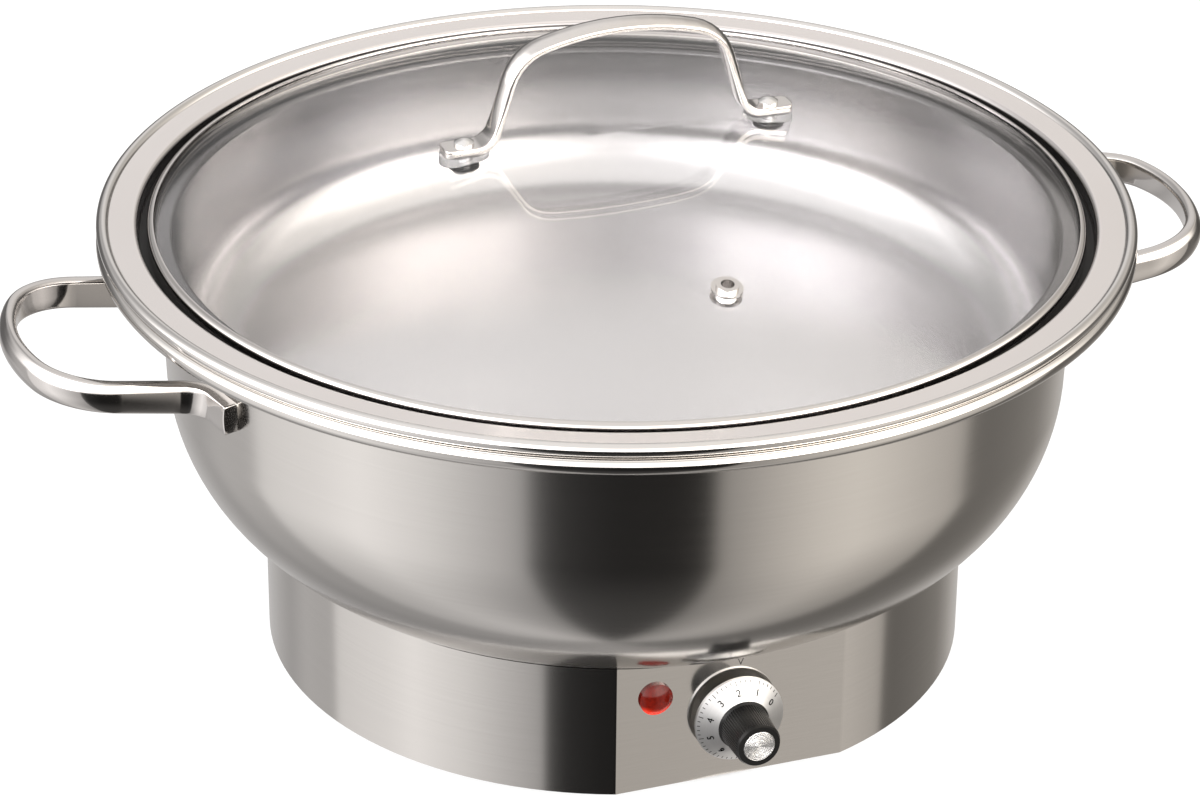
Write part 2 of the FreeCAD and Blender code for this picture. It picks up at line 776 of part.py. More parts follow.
def food_pan():
    outer_bend = "(pan_bend + pan_wall)"
    under_curl = "rim_top - pan_wall - flange_slope * curl_radius"
    return solid_of_turn("food_pan", [
        ("0", "pan_floor"),
        ("0", "pan_floor - pan_wall"),
        ("pan_flat", "pan_floor - pan_wall", "pan_corner + pan_wall"),
        ("pan_foot_radius + pan_wall", "pan_floor + pan_corner"),
        ("pan_mouth + pan_wall", f"ledge_top - {outer_bend}", "-pan_bend"),
        (f"pan_mouth + {outer_bend}", "ledge_top - pan_wall"),
        ("step_radius - pan_bend", "ledge_top - pan_wall", outer_bend),
        ("step_radius + pan_wall", "ledge_top + pan_bend"),
        ("step_radius + pan_wall", f"step_top - {outer_bend}", "-pan_bend"),
        (f"step_radius + {outer_bend}", "step_top - pan_wall"),
        ("curl_inside", under_curl),
        ("curl_inside", "rim_top - curl_radius", "curl_radius"),
        ("curl_centre", "rim_top - 2 * curl_radius", "curl_radius"),
        ("rim_radius", "rim_top - curl_radius", "curl_radius"),
        ("curl_centre", "rim_top"),
        (f"step_radius + {outer_bend}", "step_top", outer_bend),
        ("step_radius", f"step_top - {outer_bend}"),
        ("step_radius", "ledge_top + pan_bend", "-pan_bend"),
        ("step_radius - pan_bend", "ledge_top"),
        (f"pan_mouth + {outer_bend}", "ledge_top", outer_bend),
        ("pan_mouth", f"ledge_top - {outer_bend}"),
        ("pan_foot_radius", "pan_floor + pan_corner", "-pan_corner"),
        ("pan_flat", "pan_floor"),
    ])


def handle_section(sketch, crown):
    """A bar that is flat inside and crowned outside"""
    inside = "-handle_thickness / 2"
    edge = f"handle_thickness / 2 - {crown}"
    round_radius = f"((handle_breadth / 2) ^ 2 + {crown} ^ 2) / (2 * {crown})"
    trace(sketch, [
        (inside, "handle_breadth / 2"),
        (inside, "-handle_breadth / 2"),
        (edge, "-handle_breadth / 2", round_radius),
        (edge, "handle_breadth / 2"),
    ])


def side_handle(label, turn):
    """A bar bent into a rising bow, with two flatter, upright tabs trimmed to the bowl wall"""
    body = new_body(label + "_bar")
    grip = new_sketch(body, "XZ_Plane", "Grip")
    move(grip, "bow_place", "bow_level", "0", UP, "handle_tilt", "AttachmentOffset")
    handle_section(grip, "(handle_thickness - handle_edge)")
    tab = new_sketch(body, "XZ_Plane", "Tab")
    move(tab, "tab_place", "tab_level", "-tab_end_y", Vector(0, 1, 0), "tab_turn", "AttachmentOffset")
    handle_section(tab, "tab_crown")
    path = new_sketch(body, "XY_Plane", "Path")
    move(path, "tilt_shift", "0", "tilt_level", Vector(0, -1, 0), "handle_tilt", "AttachmentOffset")
    trace(path, [
        ("bow_middle", "0", "bow_radius"),
        ("bow_end_x", "bow_end_y", "bow_corner"),
        ("arm_head_x", "arm_head_y"),
        ("arm_foot_x", "arm_foot_y", "-tab_bend"),
        ("tab_start_x", "tab_start_y"),
        ("tab_end_x", "tab_end_y"),
    ], closed=False)
    half = sweep(body, grip, path, tab)
    mirror(body, half, "XZ_Plane")
    move(body, angle=turn)
    wall = doc.addObject("Part::Cone", label + "_wall")
    bind(wall, "Radius1", "bowl_radius + weld_gap")
    bind(wall, "Radius2", "bowl_top_radius + weld_gap")
    bind(wall, "Height", "flange_bottom - bowl_wall_start")
    bind(wall, "Placement.Base.z", "bowl_wall_start")
    node = doc.addObject("Part::Cut", label)
    node.Label = label
    node.Base = body
    node.Tool = wall
    return node


# Lid

def lid_glass():
    body = solid_of_turn("lid_glass", [
        ("0", "glass_top - glass_thickness", "-inner_sphere"),
        ("glass_radius", "glass_centre + sqrt(inner_sphere ^ 2 - glass_radius ^ 2)"),
        ("glass_radius", "glass_centre + sqrt(glass_sphere ^ 2 - glass_radius ^ 2)", "glass_sphere"),
        ("0", "glass_top"),
    ])
    rivets = new_sketch(body, "XY_Plane", "RivetHoles")
    for side in ("rivet_offset", "-rivet_offset"):
        ring(rivets, side, "0", "rivet_radius + hole_gap")
    pocket(body, rivets, backwards=True)
    vent = new_sketch(body, "XY_Plane", "VentHole")
    move(vent, "0", "-vent_radius", "vent_level", Vector(1, 0, 0), "vent_tilt", "AttachmentOffset")
    ring(vent, "0", "0", "vent_collar + vent_fit")
    hole = pocket(body, vent, length="4 * glass_thickness")
    hole.Midplane = True
    return body


def lid_band():
    return solid_of_turn("lid_band", [
        ("seat_radius", "band_bottom"),
        ("band_radius", "band_bottom"),
        ("band_radius", "band_top - band_wall", "band_wall"),
        ("band_radius - band_wall", "band_top"),
        ("lip_radius", "band_top"),
        ("lip_radius", "band_top - band_wall"),
        ("band_radius - band_wall", "band_top - band_wall"),
        ("band_radius - band_wall", "band_bottom + band_wall"),
        ("seat_radius", "band_bottom + band_wall"),
    ])


def lid_gasket():
    return solid_of_turn("lid_gasket", [
        ("seat_radius + gasket_gap", "band_bottom + band_wall"),
        ("glass_radius", "band_bottom + band_wall"),
        ("glass_radius", "glass_centre + sqrt(inner_sphere ^ 2 - glass_radius ^ 2) - gasket_gap"),
        ("seat_radius + gasket_gap",
         "glass_centre + sqrt(inner_sphere ^ 2 - (seat_radius + gasket_gap) ^ 2) - gasket_gap"),
    ])


def round_toes(body, middle, toe, half, radius, ends):
    """Cut the two corners of each end to a radius, seen from above; toe is measured from the middle"""
    corners = new_sketch(body, "XY_Plane", "Corners")
    for end in ends:
        for side in (1, -1):
            inner_x = f"{middle} + {end} * ({toe} - ({radius}))"
            inner_y = f"{side} * ({half} - ({radius}))"
            outer_x = f"{middle} + {end} * ({toe} + 1)"
            outer_y = f"{side} * ({half} + 1)"
            trace(corners, [
                (inner_x, f"{side} * ({half})", f"{-end * side} * ({radius})"),
                (f"{middle} + {end} * ({toe})", inner_y),
                (outer_x, inner_y),
                (outer_x, outer_y),
                (inner_x, outer_y),
            ])
    pocket(body, corners, backwards=True)


def lid_handle():
    body = new_body("lid_handle")
    section = new_sketch(body, "YZ_Plane", "Section")
    low = "crown_top - strap_thickness / 2"
    bulge = "strap_thickness - strap_edge"
    round_radius = f"((strap_width / 2) ^ 2 + ({bulge}) ^ 2) / (2 * ({bulge}))"
    trace(section, [
        ("-strap_width / 2", low),
        ("strap_width / 2", low),
        ("strap_width / 2", f"{low} + strap_edge", round_radius),
        ("-strap_width / 2", f"{low} + strap_edge"),
    ])
    path = new_sketch(body, "XZ_Plane", "Path")
    trace(path, [
        ("0", "crown_top", "-crown_radius"),
        ("crown_end_x", "crown_end_z", "-shoulder_radius"),
        ("leg_head_x", "leg_head_z"),
        ("leg_foot_x", "leg_foot_z", "knee_radius"),
        ("heel_x", "strap_middle"),
        ("rivet_offset + strap_toe", "strap_middle"),
    ], closed=False)
    half = sweep(body, section, path)
    mirror(body, half, "YZ_Plane")
    holes = new_sketch(body, "XY_Plane", "RivetHoles")
    for side in ("rivet_offset", "-rivet_offset"):
        ring(holes, side, "0", "rivet_radius + hole_gap")
    pocket(body, holes, backwards=True)
    seats = new_sketch(body, "XY_Plane", "HeadSeats", "head_seat")
    for side in ("rivet_offset", "-rivet_offset"):
        ring(seats, side, "0", "rivet_head_radius + part_gap")
    pocket(body, seats, backwards=True, length="strap_thickness")
    round_toes(body, "0", "(rivet_offset + strap_toe)", "strap_width / 2", "toe_round", (1, -1))
    return body


def lid_pads():
    """Two round-ended pads that level the handle's feet on the dome"""
    body = new_body("pad")
    profile = new_sketch(body, "XZ_Plane", "Profile")
    sphere = "(glass_sphere + gasket_gap)"
    heel = "rivet_offset - pad_length / 2"
    toe = "rivet_offset + pad_length / 2"
    trace(profile, [
        (heel, "strap_bottom"),
        (heel, f"glass_centre + sqrt({sphere} ^ 2 - ({heel}) ^ 2)", f"-{sphere}"),
        (toe, f"glass_centre + sqrt({sphere} ^ 2 - ({toe}) ^ 2)"),
        (toe, "strap_bottom"),
    ])
    pad(body, profile, "pad_width", both=True)
    hole = new_sketch(body, "XY_Plane", "Hole")
    ring(hole, "rivet_offset", "0", "rivet_radius + hole_gap")
    pocket(body, hole, backwards=True)
    round_toes(body, "rivet_offset", "pad_length / 2", "pad_width / 2", "(pad_width - pad_flat) / 2", (1, -1))
    return group("lid_pads", body, [("0", "0", "0", "0"), ("0", "0", "0", "180")])


def lid_rivets():
    rivet = new_body("rivet")
    profile = new_sketch(rivet, "XZ_Plane", "Profile")
    dome = "(rivet_head_radius ^ 2 + rivet_head_height ^ 2) / (2 * rivet_head_height)"
    tail = "washer_bottom - cap_nut_height + cap_nut_end - strap_top"
    trace(profile, [
        ("0", tail),
        ("rivet_radius", tail),
        ("rivet_radius", "head_seat - strap_top"),
        ("rivet_head_radius", "head_seat - strap_top"),
        ("rivet_head_radius", "0", dome),
        ("0", "rivet_head_height"),
    ])
    revolve(rivet, profile)
    return group("lid_rivets", rivet, both_sides("rivet_offset", "strap_top"))


def lid_washers():
    """Two soft washers that follow the underside of the glass"""
    body = new_body("lid_washers")
    outline = new_sketch(body, "XY_Plane", "Outline", "washer_bottom")
    ring(outline, "rivet_offset", "0", "washer_radius")
    ring(outline, "rivet_offset", "0", "rivet_radius + hole_gap")
    disc = pad(body, outline, "washer_thickness + glass_thickness / 2")
    around(body, [disc], "2")
    above = new_sketch(body, "XZ_Plane", "Above")
    far = "rivet_offset + 2 * washer_radius"
    trace(above, [
        ("0", "glass_top - glass_thickness - gasket_gap", "-(inner_sphere - gasket_gap)"),
        (far, f"glass_centre + sqrt((inner_sphere - gasket_gap) ^ 2 - ({far}) ^ 2)"),
        (far, "glass_top"),
        ("0", "glass_top"),
    ])
    groove(body, above)
    return body


def lid_nuts():
    """Low round nuts that close over the ends of the rivet-headed screws"""
    nut = new_body("cap_nut")
    profile = new_sketch(nut, "XZ_Plane", "Profile")
    trace(profile, [
        ("0", "0"),
        ("cap_nut_radius - cap_nut_round", "0", "cap_nut_round"),
        ("cap_nut_radius", "cap_nut_round"),
        ("cap_nut_radius", "cap_nut_height"),
        ("rivet_radius + thread_gap", "cap_nut_height"),
        ("rivet_radius + thread_gap", "cap_nut_end - thread_gap"),
        ("0", "cap_nut_end - thread_gap"),
    ])
    revolve(nut, profile)
    return group("lid_nuts", nut, both_sides("rivet_offset", "washer_bottom - cap_nut_height"))


def vent_eyelet():
    body = solid_of_turn("vent_eyelet", [
        ("vent_bore", "-glass_thickness - vent_tail_height"),
        ("vent_flange", "-glass_thickness - vent_tail_height"),
        ("vent_flange", "-glass_thickness - vent_fit"),
        ("vent_collar", "-glass_thickness - vent_fit"),
        ("vent_collar", "vent_fit"),
        ("vent_flange", "vent_fit"),
        ("vent_flange", "vent_fit + vent_flange_height"),
        ("vent_collar", "vent_fit + vent_flange_height"),
        ("vent_collar", "vent_fit + vent_collar_height"),
        ("vent_bore", "vent_fit + vent_collar_height"),
    ])
    move(body, "0", "-vent_radius", "vent_level", Vector(1, 0, 0), "vent_tilt")
    return body


# Heater

def heater_plate():
    return solid_of_turn("heater_plate", [
        ("heater_stud_radius + hole_gap", "heater_bottom"),
        ("heater_radius", "heater_bottom"),
        ("heater_radius", "bowl_floor"),
        ("heater_stud_radius + hole_gap", "bowl_floor"),
    ])


def heating_element():
    """A tube bent into an open ring, with two tails that run out side by side to their terminal pins"""
    body = new_body("heating_element")
    centre_y = "element_bend_place"
    share = "element_radius / (element_radius + element_bend)"
    join_x = f"(element_spread + element_bend) * {share}"
    join_y = f"({centre_y}) * {share}"
    tail_end = "element_tail_end"
    path = new_sketch(body, "XY_Plane", "Path", "element_level")
    trace(path, [
        ("element_spread", tail_end),
        ("element_spread", centre_y, "element_bend"),
        (join_x, join_y, "-element_radius"),
        ("element_radius", "0", "-element_radius"),
        ("0", "-element_radius", "-element_radius"),
        ("-element_radius", "0", "-element_radius"),
        (f"-{join_x}", join_y, "element_bend"),
        ("-element_spread", centre_y),
        ("-element_spread", tail_end),
    ], closed=False)
    section = new_sketch(body, "XZ_Plane", "Section", f"-({tail_end})")
    ring(section, "element_spread", "element_level", "element_tube")
    sweep(body, section, path)
    pins = new_sketch(body, "XZ_Plane", "Pins", f"-({tail_end})")
    for side in ("element_spread", "-element_spread"):
        ring(pins, side, "element_level", "pin_radius")
    pad(body, pins, "pin_length", backwards=True)
    return body


def heater_stud():
    low = "clamp_bottom - heater_nut_height - screw_reach"
    return plain_cylinder("heater_stud", "heater_stud_radius", low, "bowl_floor")


def clamp_bar():
    body = new_body("clamp_bar")
    outline = new_sketch(body, "XY_Plane", "Outline", "clamp_bottom")
    trace(outline, [
        ("-clamp_half", "-clamp_width / 2"),
        ("clamp_half", "-clamp_width / 2"),
        ("clamp_half", "clamp_width / 2"),
        ("-clamp_half", "clamp_width / 2"),
    ])
    ring(outline, "0", "0", "heater_stud_radius + hole_gap")
    pad(body, outline, "clamp_thickness")
    return body


def heater_nut():
    nut = hex_nut("heater_nut", "heater_nut_width", "heater_nut_height", "heater_stud_radius + thread_gap")
    move(nut, z="clamp_bottom - heater_nut_height")
    return nut


def overheat_cutout():
    body = new_body("overheat_cutout")
    can = new_sketch(body, "XY_Plane", "Can")
    ring(can, "0", "0", "cutout_radius")
    pad(body, can, "cutout_height", backwards=True)
    tabs = new_sketch(body, "XY_Plane", "Tabs", "-cutout_height")
    for side in (1, -1):
        near = f"{side} * cutout_tab_offset - cutout_tab_thickness / 2"
        far = f"{side} * cutout_tab_offset + cutout_tab_thickness / 2"
        trace(tabs, [
            (near, "-cutout_tab_width / 2"),
            (far, "-cutout_tab_width / 2"),
            (far, "cutout_tab_width / 2"),
            (near, "cutout_tab_width / 2"),
        ])
    pad(body, tabs, "cutout_tab_height", backwards=True)
    move(body, "-cutout_place", "0", "bowl_floor")
    return body


# Thermostat, knob and lamp

def thermostat_body():
    """A control block behind the panel, with a threaded bush through it and a bore for the shaft"""
    body = new_body("thermostat_body")
    block = new_sketch(body, "XY_Plane", "Block", "-base_wall")
    trace(block, [
        ("-thermostat_width / 2", "-thermostat_height / 2"),
        ("thermostat_width / 2", "-thermostat_height / 2"),
        ("thermostat_width / 2", "thermostat_height / 2"),
        ("-thermostat_width / 2", "thermostat_height / 2"),
    ])
    pad(body, block, "thermostat_depth", backwards=True)
    bush = new_sketch(body, "XY_Plane", "Bush", "-base_wall")
    ring(bush, "0", "0", "bush_radius")
    pad(body, bush, "base_wall + bush_length")
    bore = new_sketch(body, "XY_Plane", "Bore", "bush_length")
    ring(bore, "0", "0", "shaft_radius + shaft_fit")
    pocket(body, bore, length="bush_length + shaft_depth + part_gap")
    face_out(body, "panel_distance", "knob_level", "knob_offset")
    return body


def thermostat_nut():
    nut = hex_nut("thermostat_nut", "bush_nut_width", "bush_nut_height", "bush_radius + thread_gap")
    face_out(nut, "panel_distance", "knob_level", "knob_offset")
    return nut


def thermostat_shaft():
    shaft = plain_cylinder("thermostat_shaft", "shaft_radius", "-shaft_depth", "shaft_length")
    face_out(shaft, "panel_distance", "knob_level", "knob_offset")
    return shaft


def dial_skirt():
    """A cone of thin metal with a flat hub that the knob is pressed on"""
    body = solid_of_turn("dial_skirt", [
        ("shaft_radius + part_gap", "dial_front - dial_shell"),
        ("knob_base_radius - dial_shell", "dial_front - dial_shell"),
        ("dial_radius - dial_shell", "dial_lift + dial_edge - dial_shell / 2"),
        ("dial_radius - dial_shell", "dial_lift"),
        ("dial_radius", "dial_lift"),
        ("dial_radius", "dial_lift + dial_edge"),
        ("knob_base_radius", "dial_front"),
        ("shaft_radius + part_gap", "dial_front"),
    ])
    face_out(body, "panel_distance", "knob_level", "knob_offset")
    return body


def knob_body():
    """A tapered grip that flares a little where it meets the dial"""
    body = solid_of_turn("knob_body", [
        ("shaft_radius + part_gap", "dial_front"),
        ("knob_base_radius", "dial_front"),
        ("knob_base_radius - knob_flare", "dial_front + knob_flare"),
        ("knob_end_radius", "knob_front - knob_flare"),
        ("knob_end_radius - knob_flare / 2", "knob_front"),
        ("cap_radius + part_gap", "knob_front"),
        ("cap_radius + part_gap", "knob_front - cap_height + cap_proud"),
        ("0", "knob_front - cap_height + cap_proud"),
        ("0", "shaft_length + part_gap"),
        ("shaft_radius + part_gap", "shaft_length + part_gap"),
    ])
    screw = new_sketch(body, "XZ_Plane", "SetScrewHole")
    ring(screw, "0", "dial_front + set_screw_lift", "set_screw_radius + part_gap")
    pocket(body, screw, backwards=True)
    face_out(body, "panel_distance", "knob_level", "knob_offset")
    return body


def knob_cap():
    cap = solid_of_turn("knob_cap", [
        ("0", "knob_front - cap_height + cap_proud"),
        ("cap_radius", "knob_front - cap_height + cap_proud"),
        ("cap_radius", "knob_front"),
        ("cap_radius - cap_proud", "knob_front + cap_proud"),
        ("0", "knob_front + cap_proud"),
    ])
    face_out(cap, "panel_distance", "knob_level", "knob_offset")
    return cap


def knob_set_screw():
    """A grub screw that presses on the shaft from the underside of the knob"""
    body = new_body("knob_set_screw")
    end = new_sketch(body, "XZ_Plane", "End", "shaft_radius + part_gap")
    ring(end, "0", "dial_front + set_screw_lift", "set_screw_radius")
    pad(body, end, "set_screw_depth")
    face_out(body, "panel_distance", "knob_level", "knob_offset")
    return body


def lamp_body():
    lamp = plain_cylinder("lamp_body", "lamp_radius", "-base_wall - lamp_length", "0")
    face_out(lamp, "panel_distance", "lamp_level", "-lamp_offset")
    return lamp


def lamp_nut():
    nut = hex_nut("lamp_nut", "lamp_nut_width", "lamp_nut_height", "lamp_radius + thread_gap")
    face_out(nut, "panel_inside - lamp_nut_height", "lamp_level", "-lamp_offset")
    return nut


def lamp_lens():
    dome = "(lens_radius ^ 2 + lens_rise ^ 2) / (2 * lens_rise)"
    lens = solid_of_turn("lamp_lens", [
        ("0", "0"),
        ("lens_radius", "0"),
        ("lens_radius", "lens_rim", dome),
        ("0", "lens_rim + lens_rise"),
    ])
    face_out(lens, "panel_distance", "lamp_level", "-lamp_offset")
    return lens


# Sensor, terminals, inlet and wires

def bent_path(points, bend):
    """Straight runs through points, joined by arcs that touch them; a short run makes its arcs tighter"""
    spots = [Vector(*(value(text) for text in point)) for point in points]
    edges = []
    start = spots[0]
    for before, corner, after in zip(spots, spots[1:], spots[2:]):
        shorter = min((before - corner).Length, (after - corner).Length)
        back = (before - corner).normalize()
        ahead = (after - corner).normalize()
        half = back.getAngle(ahead) / 2
        radius = min(value(bend), 0.45 * shorter * math.tan(half))
        middle = corner + (back + ahead).normalize() * (radius / math.sin(half) - radius)
        first = corner + back * (radius / math.tan(half))
        last = corner + ahead * (radius / math.tan(half))
        edges.append(Part.LineSegment(start, first).toShape())
        edges.append(Part.Arc(first, middle, last).toShape())
        start = last
    edges.append(Part.LineSegment(start, spots[-1]).toShape())
    return Part.Wire(edges)


def bent_tube(points, bend, thickness):
    """A round rod along a bent path; its volume has to be its section times its length"""
    path = bent_path(points, bend)
    first = path.Edges[0]
    circle = Part.Circle(first.Vertexes[0].Point, first.tangentAt(first.FirstParameter), value(thickness))
    rod = path.makePipeShell([Part.Wire([circle.toShape()])], True, False)
    expected = math.pi * value(thickness) ** 2 * path.Length
    if abs(rod.Volume / expected - 1) > 0.01:
        raise RuntimeError("a bent tube has the wrong volume")
    return rod


def shape_node(label, shape):
    node = doc.addObject("Part::Feature", label)
    node.Label = label
    node.Shape = shape
    node.Placement = FreeCAD.Placement()
    return node


def sensor_bulb():
    """The sensing bulb under the bowl, with the capillary that joins it to the thermostat"""
    length = value("bulb_length")
    bulb_end = Vector(value("bulb_length / 2"), value("-bulb_place"), value("bulb_level"))
    bulb = Part.makeCylinder(value("bulb_radius"), length, bulb_end, Vector(-1, 0, 0))
    inset = "knob_offset + thermostat_width / 2 - capillary_inset"
    level = "knob_level - capillary_inset"
    route = [
        (inset, "-(panel_inside - thermostat_depth)", level),
        (inset, "-bulb_place + capillary_loop", level),
        ("bulb_length / 2 + capillary_loop", "-bulb_place + capillary_loop", level),
        ("bulb_length / 2 + capillary_loop", "-bulb_place", "bulb_level"),
        ("bulb_length / 2 - bulb_radius", "-bulb_place", "bulb_level"),
    ]
    capillary = bent_tube(route, "capillary_bend", "capillary_radius")
    return shape_node("sensor_bulb", bulb.fuse(capillary).removeSplitter())


def bulb_clip():
    """A strip bent under the bulb, with a wing each side that lies against the bowl"""
    body = new_body("bulb_clip")
    inner = "bulb_radius + touch_gap"
    outer = "bulb_radius + touch_gap + clip_thickness"
    profile = new_sketch(body, "YZ_Plane", "Profile", "-clip_width / 2")
    middle = "-bulb_place"
    under = "bowl_floor - clip_thickness"
    trace(profile, [
        (f"{middle} - ({outer}) - clip_wing", "bowl_floor"),
        (f"{middle} - ({outer}) - clip_wing", under),
        (f"{middle} - ({outer})", under),
        (f"{middle} - ({outer})", "bulb_level", outer),
        (middle, f"bulb_level - ({outer})", outer),
        (f"{middle} + {outer}", "bulb_level"),
        (f"{middle} + {outer}", "bowl_floor"),
        (f"{middle} + {inner}", "bowl_floor"),
        (f"{middle} + {inner}", "bulb_level", f"-({inner})"),
        (middle, f"bulb_level - ({inner})", f"-({inner})"),
        (f"{middle} - ({inner})", "bulb_level"),
        (f"{middle} - ({inner})", "bowl_floor"),
    ])
    pad(body, profile, "clip_width")
    return body


def terminal_block():
    body = new_body("terminal_block")
    outline = new_sketch(body, "XY_Plane", "Outline", "plate_top")
    trace(outline, [
        ("-block_length / 2", "block_place - block_width / 2"),
        ("block_length / 2", "block_place - block_width / 2"),
        ("block_length / 2", "block_place + block_width / 2"),
        ("-block_length / 2", "block_place + block_width / 2"),
    ])
    pad(body, outline, "block_height")
    holes = new_sketch(body, "XY_Plane", "Holes", "plate_top")
    sinks = new_sketch(body, "XY_Plane", "Sinks", "plate_top + block_height - block_head_sink")
    for side in ("block_hole_offset", "-block_hole_offset"):
        ring(holes, side, "block_place", "screw_radius + hole_gap")
        ring(sinks, side, "block_place", "screw_head_radius + hole_gap")
    pocket(body, holes, backwards=True)
    pocket(body, sinks, backwards=True)
    return body


def block_screws():
    """Screws down through the block into the bottom plate"""
    grip = "block_height - block_head_sink + plate_thickness"
    screw = solid_of_turn("block_screw", [
        ("0", f"-({grip})"),
        ("screw_radius", f"-({grip})"),
        ("screw_radius", "0"),
        ("screw_head_radius", "0"),
        ("screw_head_radius", "screw_head_height * 0.5"),
        ("screw_head_radius * 0.6", "screw_head_height"),
        ("0", "screw_head_height"),
    ])
    level = "plate_top + block_height - block_head_sink"
    spots = [(side, "block_place", level, "0") for side in ("block_hole_offset", "-block_hole_offset")]
    return group("block_screws", screw, spots)


def face_back(thing):
    """Turn a piece made along Z so that it points out of the rear of the base"""
    move(thing, "0", "base_radius", "gland_level", Vector(-1, 0, 0), "90")


def cable_gland():
    gland_end = "touch_gap + gland_flange_height + gland_dome_height"
    body = solid_of_turn("cable_gland", [
        ("gland_bore", "-base_wall - gland_tail"),
        ("gland_thread", "-base_wall - gland_tail"),
        ("gland_thread", "touch_gap"),
        ("gland_flange", "touch_gap"),
        ("gland_flange", "touch_gap + gland_flange_height"),
        ("gland_dome_radius", "touch_gap + gland_flange_height"),
        ("gland_dome_radius", f"{gland_end} - gland_dome_round", "gland_dome_round"),
        ("gland_dome_radius - gland_dome_round", gland_end),
        ("gland_bore", gland_end),
    ])
    face_back(body)
    return body


def gland_nut():
    nut = hex_nut("gland_nut", "gland_nut_width", "gland_nut_height", "gland_thread + thread_gap")
    corner = "gland_nut_width / sqrt(3)"
    place = f"sqrt(shell_inside ^ 2 - ({corner}) ^ 2) - seat_gap - gland_nut_height"
    move(nut, "0", f"{place} + gland_nut_height", "gland_level", Vector(1, 0, 0), "90")
    return nut


def internal_wires():
    """Insulated leads between the terminal block, thermostat, overheat cutout, element and lamp"""
    run = "plate_top + wire_level"
    block_middle = "plate_top + block_height / 2"
    block_front = "block_place - block_width / 2"
    block_end = "block_length / 2"
    rear = "-(panel_inside - thermostat_depth)"
    tab_bottom = "bowl_floor - cutout_height - cutout_tab_height - wire_end_gap"
    near_tab = "-cutout_place + cutout_tab_offset"
    far_tab = "-cutout_place - cutout_tab_offset"
    pin_place = "element_tail_end + pin_length / 2"
    under_pin = "element_level - pin_radius - wire_end_gap"
    lamp_rear = "-(panel_inside - lamp_length)"
    side = "-(panel_inside - thermostat_depth / 2)"
    feed = [
        ("-block_length / 4", block_front, block_middle),
        ("-block_length / 4", f"{block_front} - wire_reach", block_middle),
        ("-block_length / 4", f"{rear} + wire_reach", run),
        ("-block_length / 4", rear, run),
    ]
    switched = [
        ("knob_offset - thermostat_width / 3", rear, "knob_level"),
        ("knob_offset - thermostat_width / 3", f"{rear} + wire_reach", "knob_level"),
        (near_tab, "-2 * wire_reach", run),
        (near_tab, "0", run),
        (near_tab, "0", tab_bottom),
    ]
    guarded = [
        (far_tab, "0", tab_bottom),
        (far_tab, "0", run),
        (far_tab, "2 * wire_reach", run),
        ("-element_spread", pin_place, run),
        ("-element_spread", pin_place, under_pin),
    ]
    neutral = [
        (block_end, "block_place", block_middle),
        (f"{block_end} + wire_reach", "block_place", block_middle),
        (f"{block_end} + wire_reach", "block_place", run),
        ("element_spread", pin_place, run),
        ("element_spread", pin_place, under_pin),
    ]
    lamp = [
        ("-lamp_offset", lamp_rear, "lamp_level"),
        ("-lamp_offset", f"{lamp_rear} + wire_reach", "lamp_level"),
        ("-lamp_offset", f"{lamp_rear} + wire_reach", run),
        ("-lamp_offset", side, run),
        ("knob_offset - thermostat_width / 2", side, run),
    ]
    routes = (feed, switched, guarded, neutral, lamp)
    rods = [bent_tube(route, "wire_bend", "wire_radius") for route in routes]
    return shape_node("internal_wires", Part.makeCompound(rods))


NODES = [
    base_shell(),
    bottom_plate(),
    rubber_feet(),
    foot_screws(),
    foot_nuts(),
    plate_screws(),
    shell_brackets(),
    bowl_studs(),
    stud_nuts(),
    water_bowl(),
    food_pan(),
    side_handle("right_handle", "handle_turn"),
    side_handle("left_handle", "handle_turn + 180"),
    lid_glass(),
    lid_band(),
    lid_gasket(),
    lid_handle(),
    lid_pads(),
    lid_rivets(),
    lid_washers(),
    lid_nuts(),
    vent_eyelet(),
    heater_plate(),
    heating_element(),
    heater_stud(),
    clamp_bar(),
    heater_nut(),
    overheat_cutout(),
    thermostat_body(),
    thermostat_nut(),
    thermostat_shaft(),
    dial_skirt(),
    knob_body(),
    knob_cap(),
    knob_set_screw(),
    lamp_body(),
    lamp_nut(),
    lamp_lens(),
    sensor_bulb(),
    bulb_clip(),
    terminal_block(),
    block_screws(),
    internal_wires(),
    cable_gland(),
    gland_nut(),
]

doc.recompute()
for thing in doc.Objects:
    if {"Invalid", "Error"} & set(thing.State):
        raise RuntimeError(f"{thing.Name} failed: {thing.State}")
for node in NODES:
    if node.Shape.isNull() or not node.Shape.isValid() or not node.Shape.Solids:
        raise RuntimeError(f"{node.Label} has no valid shape")

os.makedirs("parts", exist_ok=True)
for node in NODES:
    node.Shape.exportStep(f"parts/{node.Label}.step")
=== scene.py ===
import json
import math

import bmesh
import bpy
from mathutils import Matrix, Vector


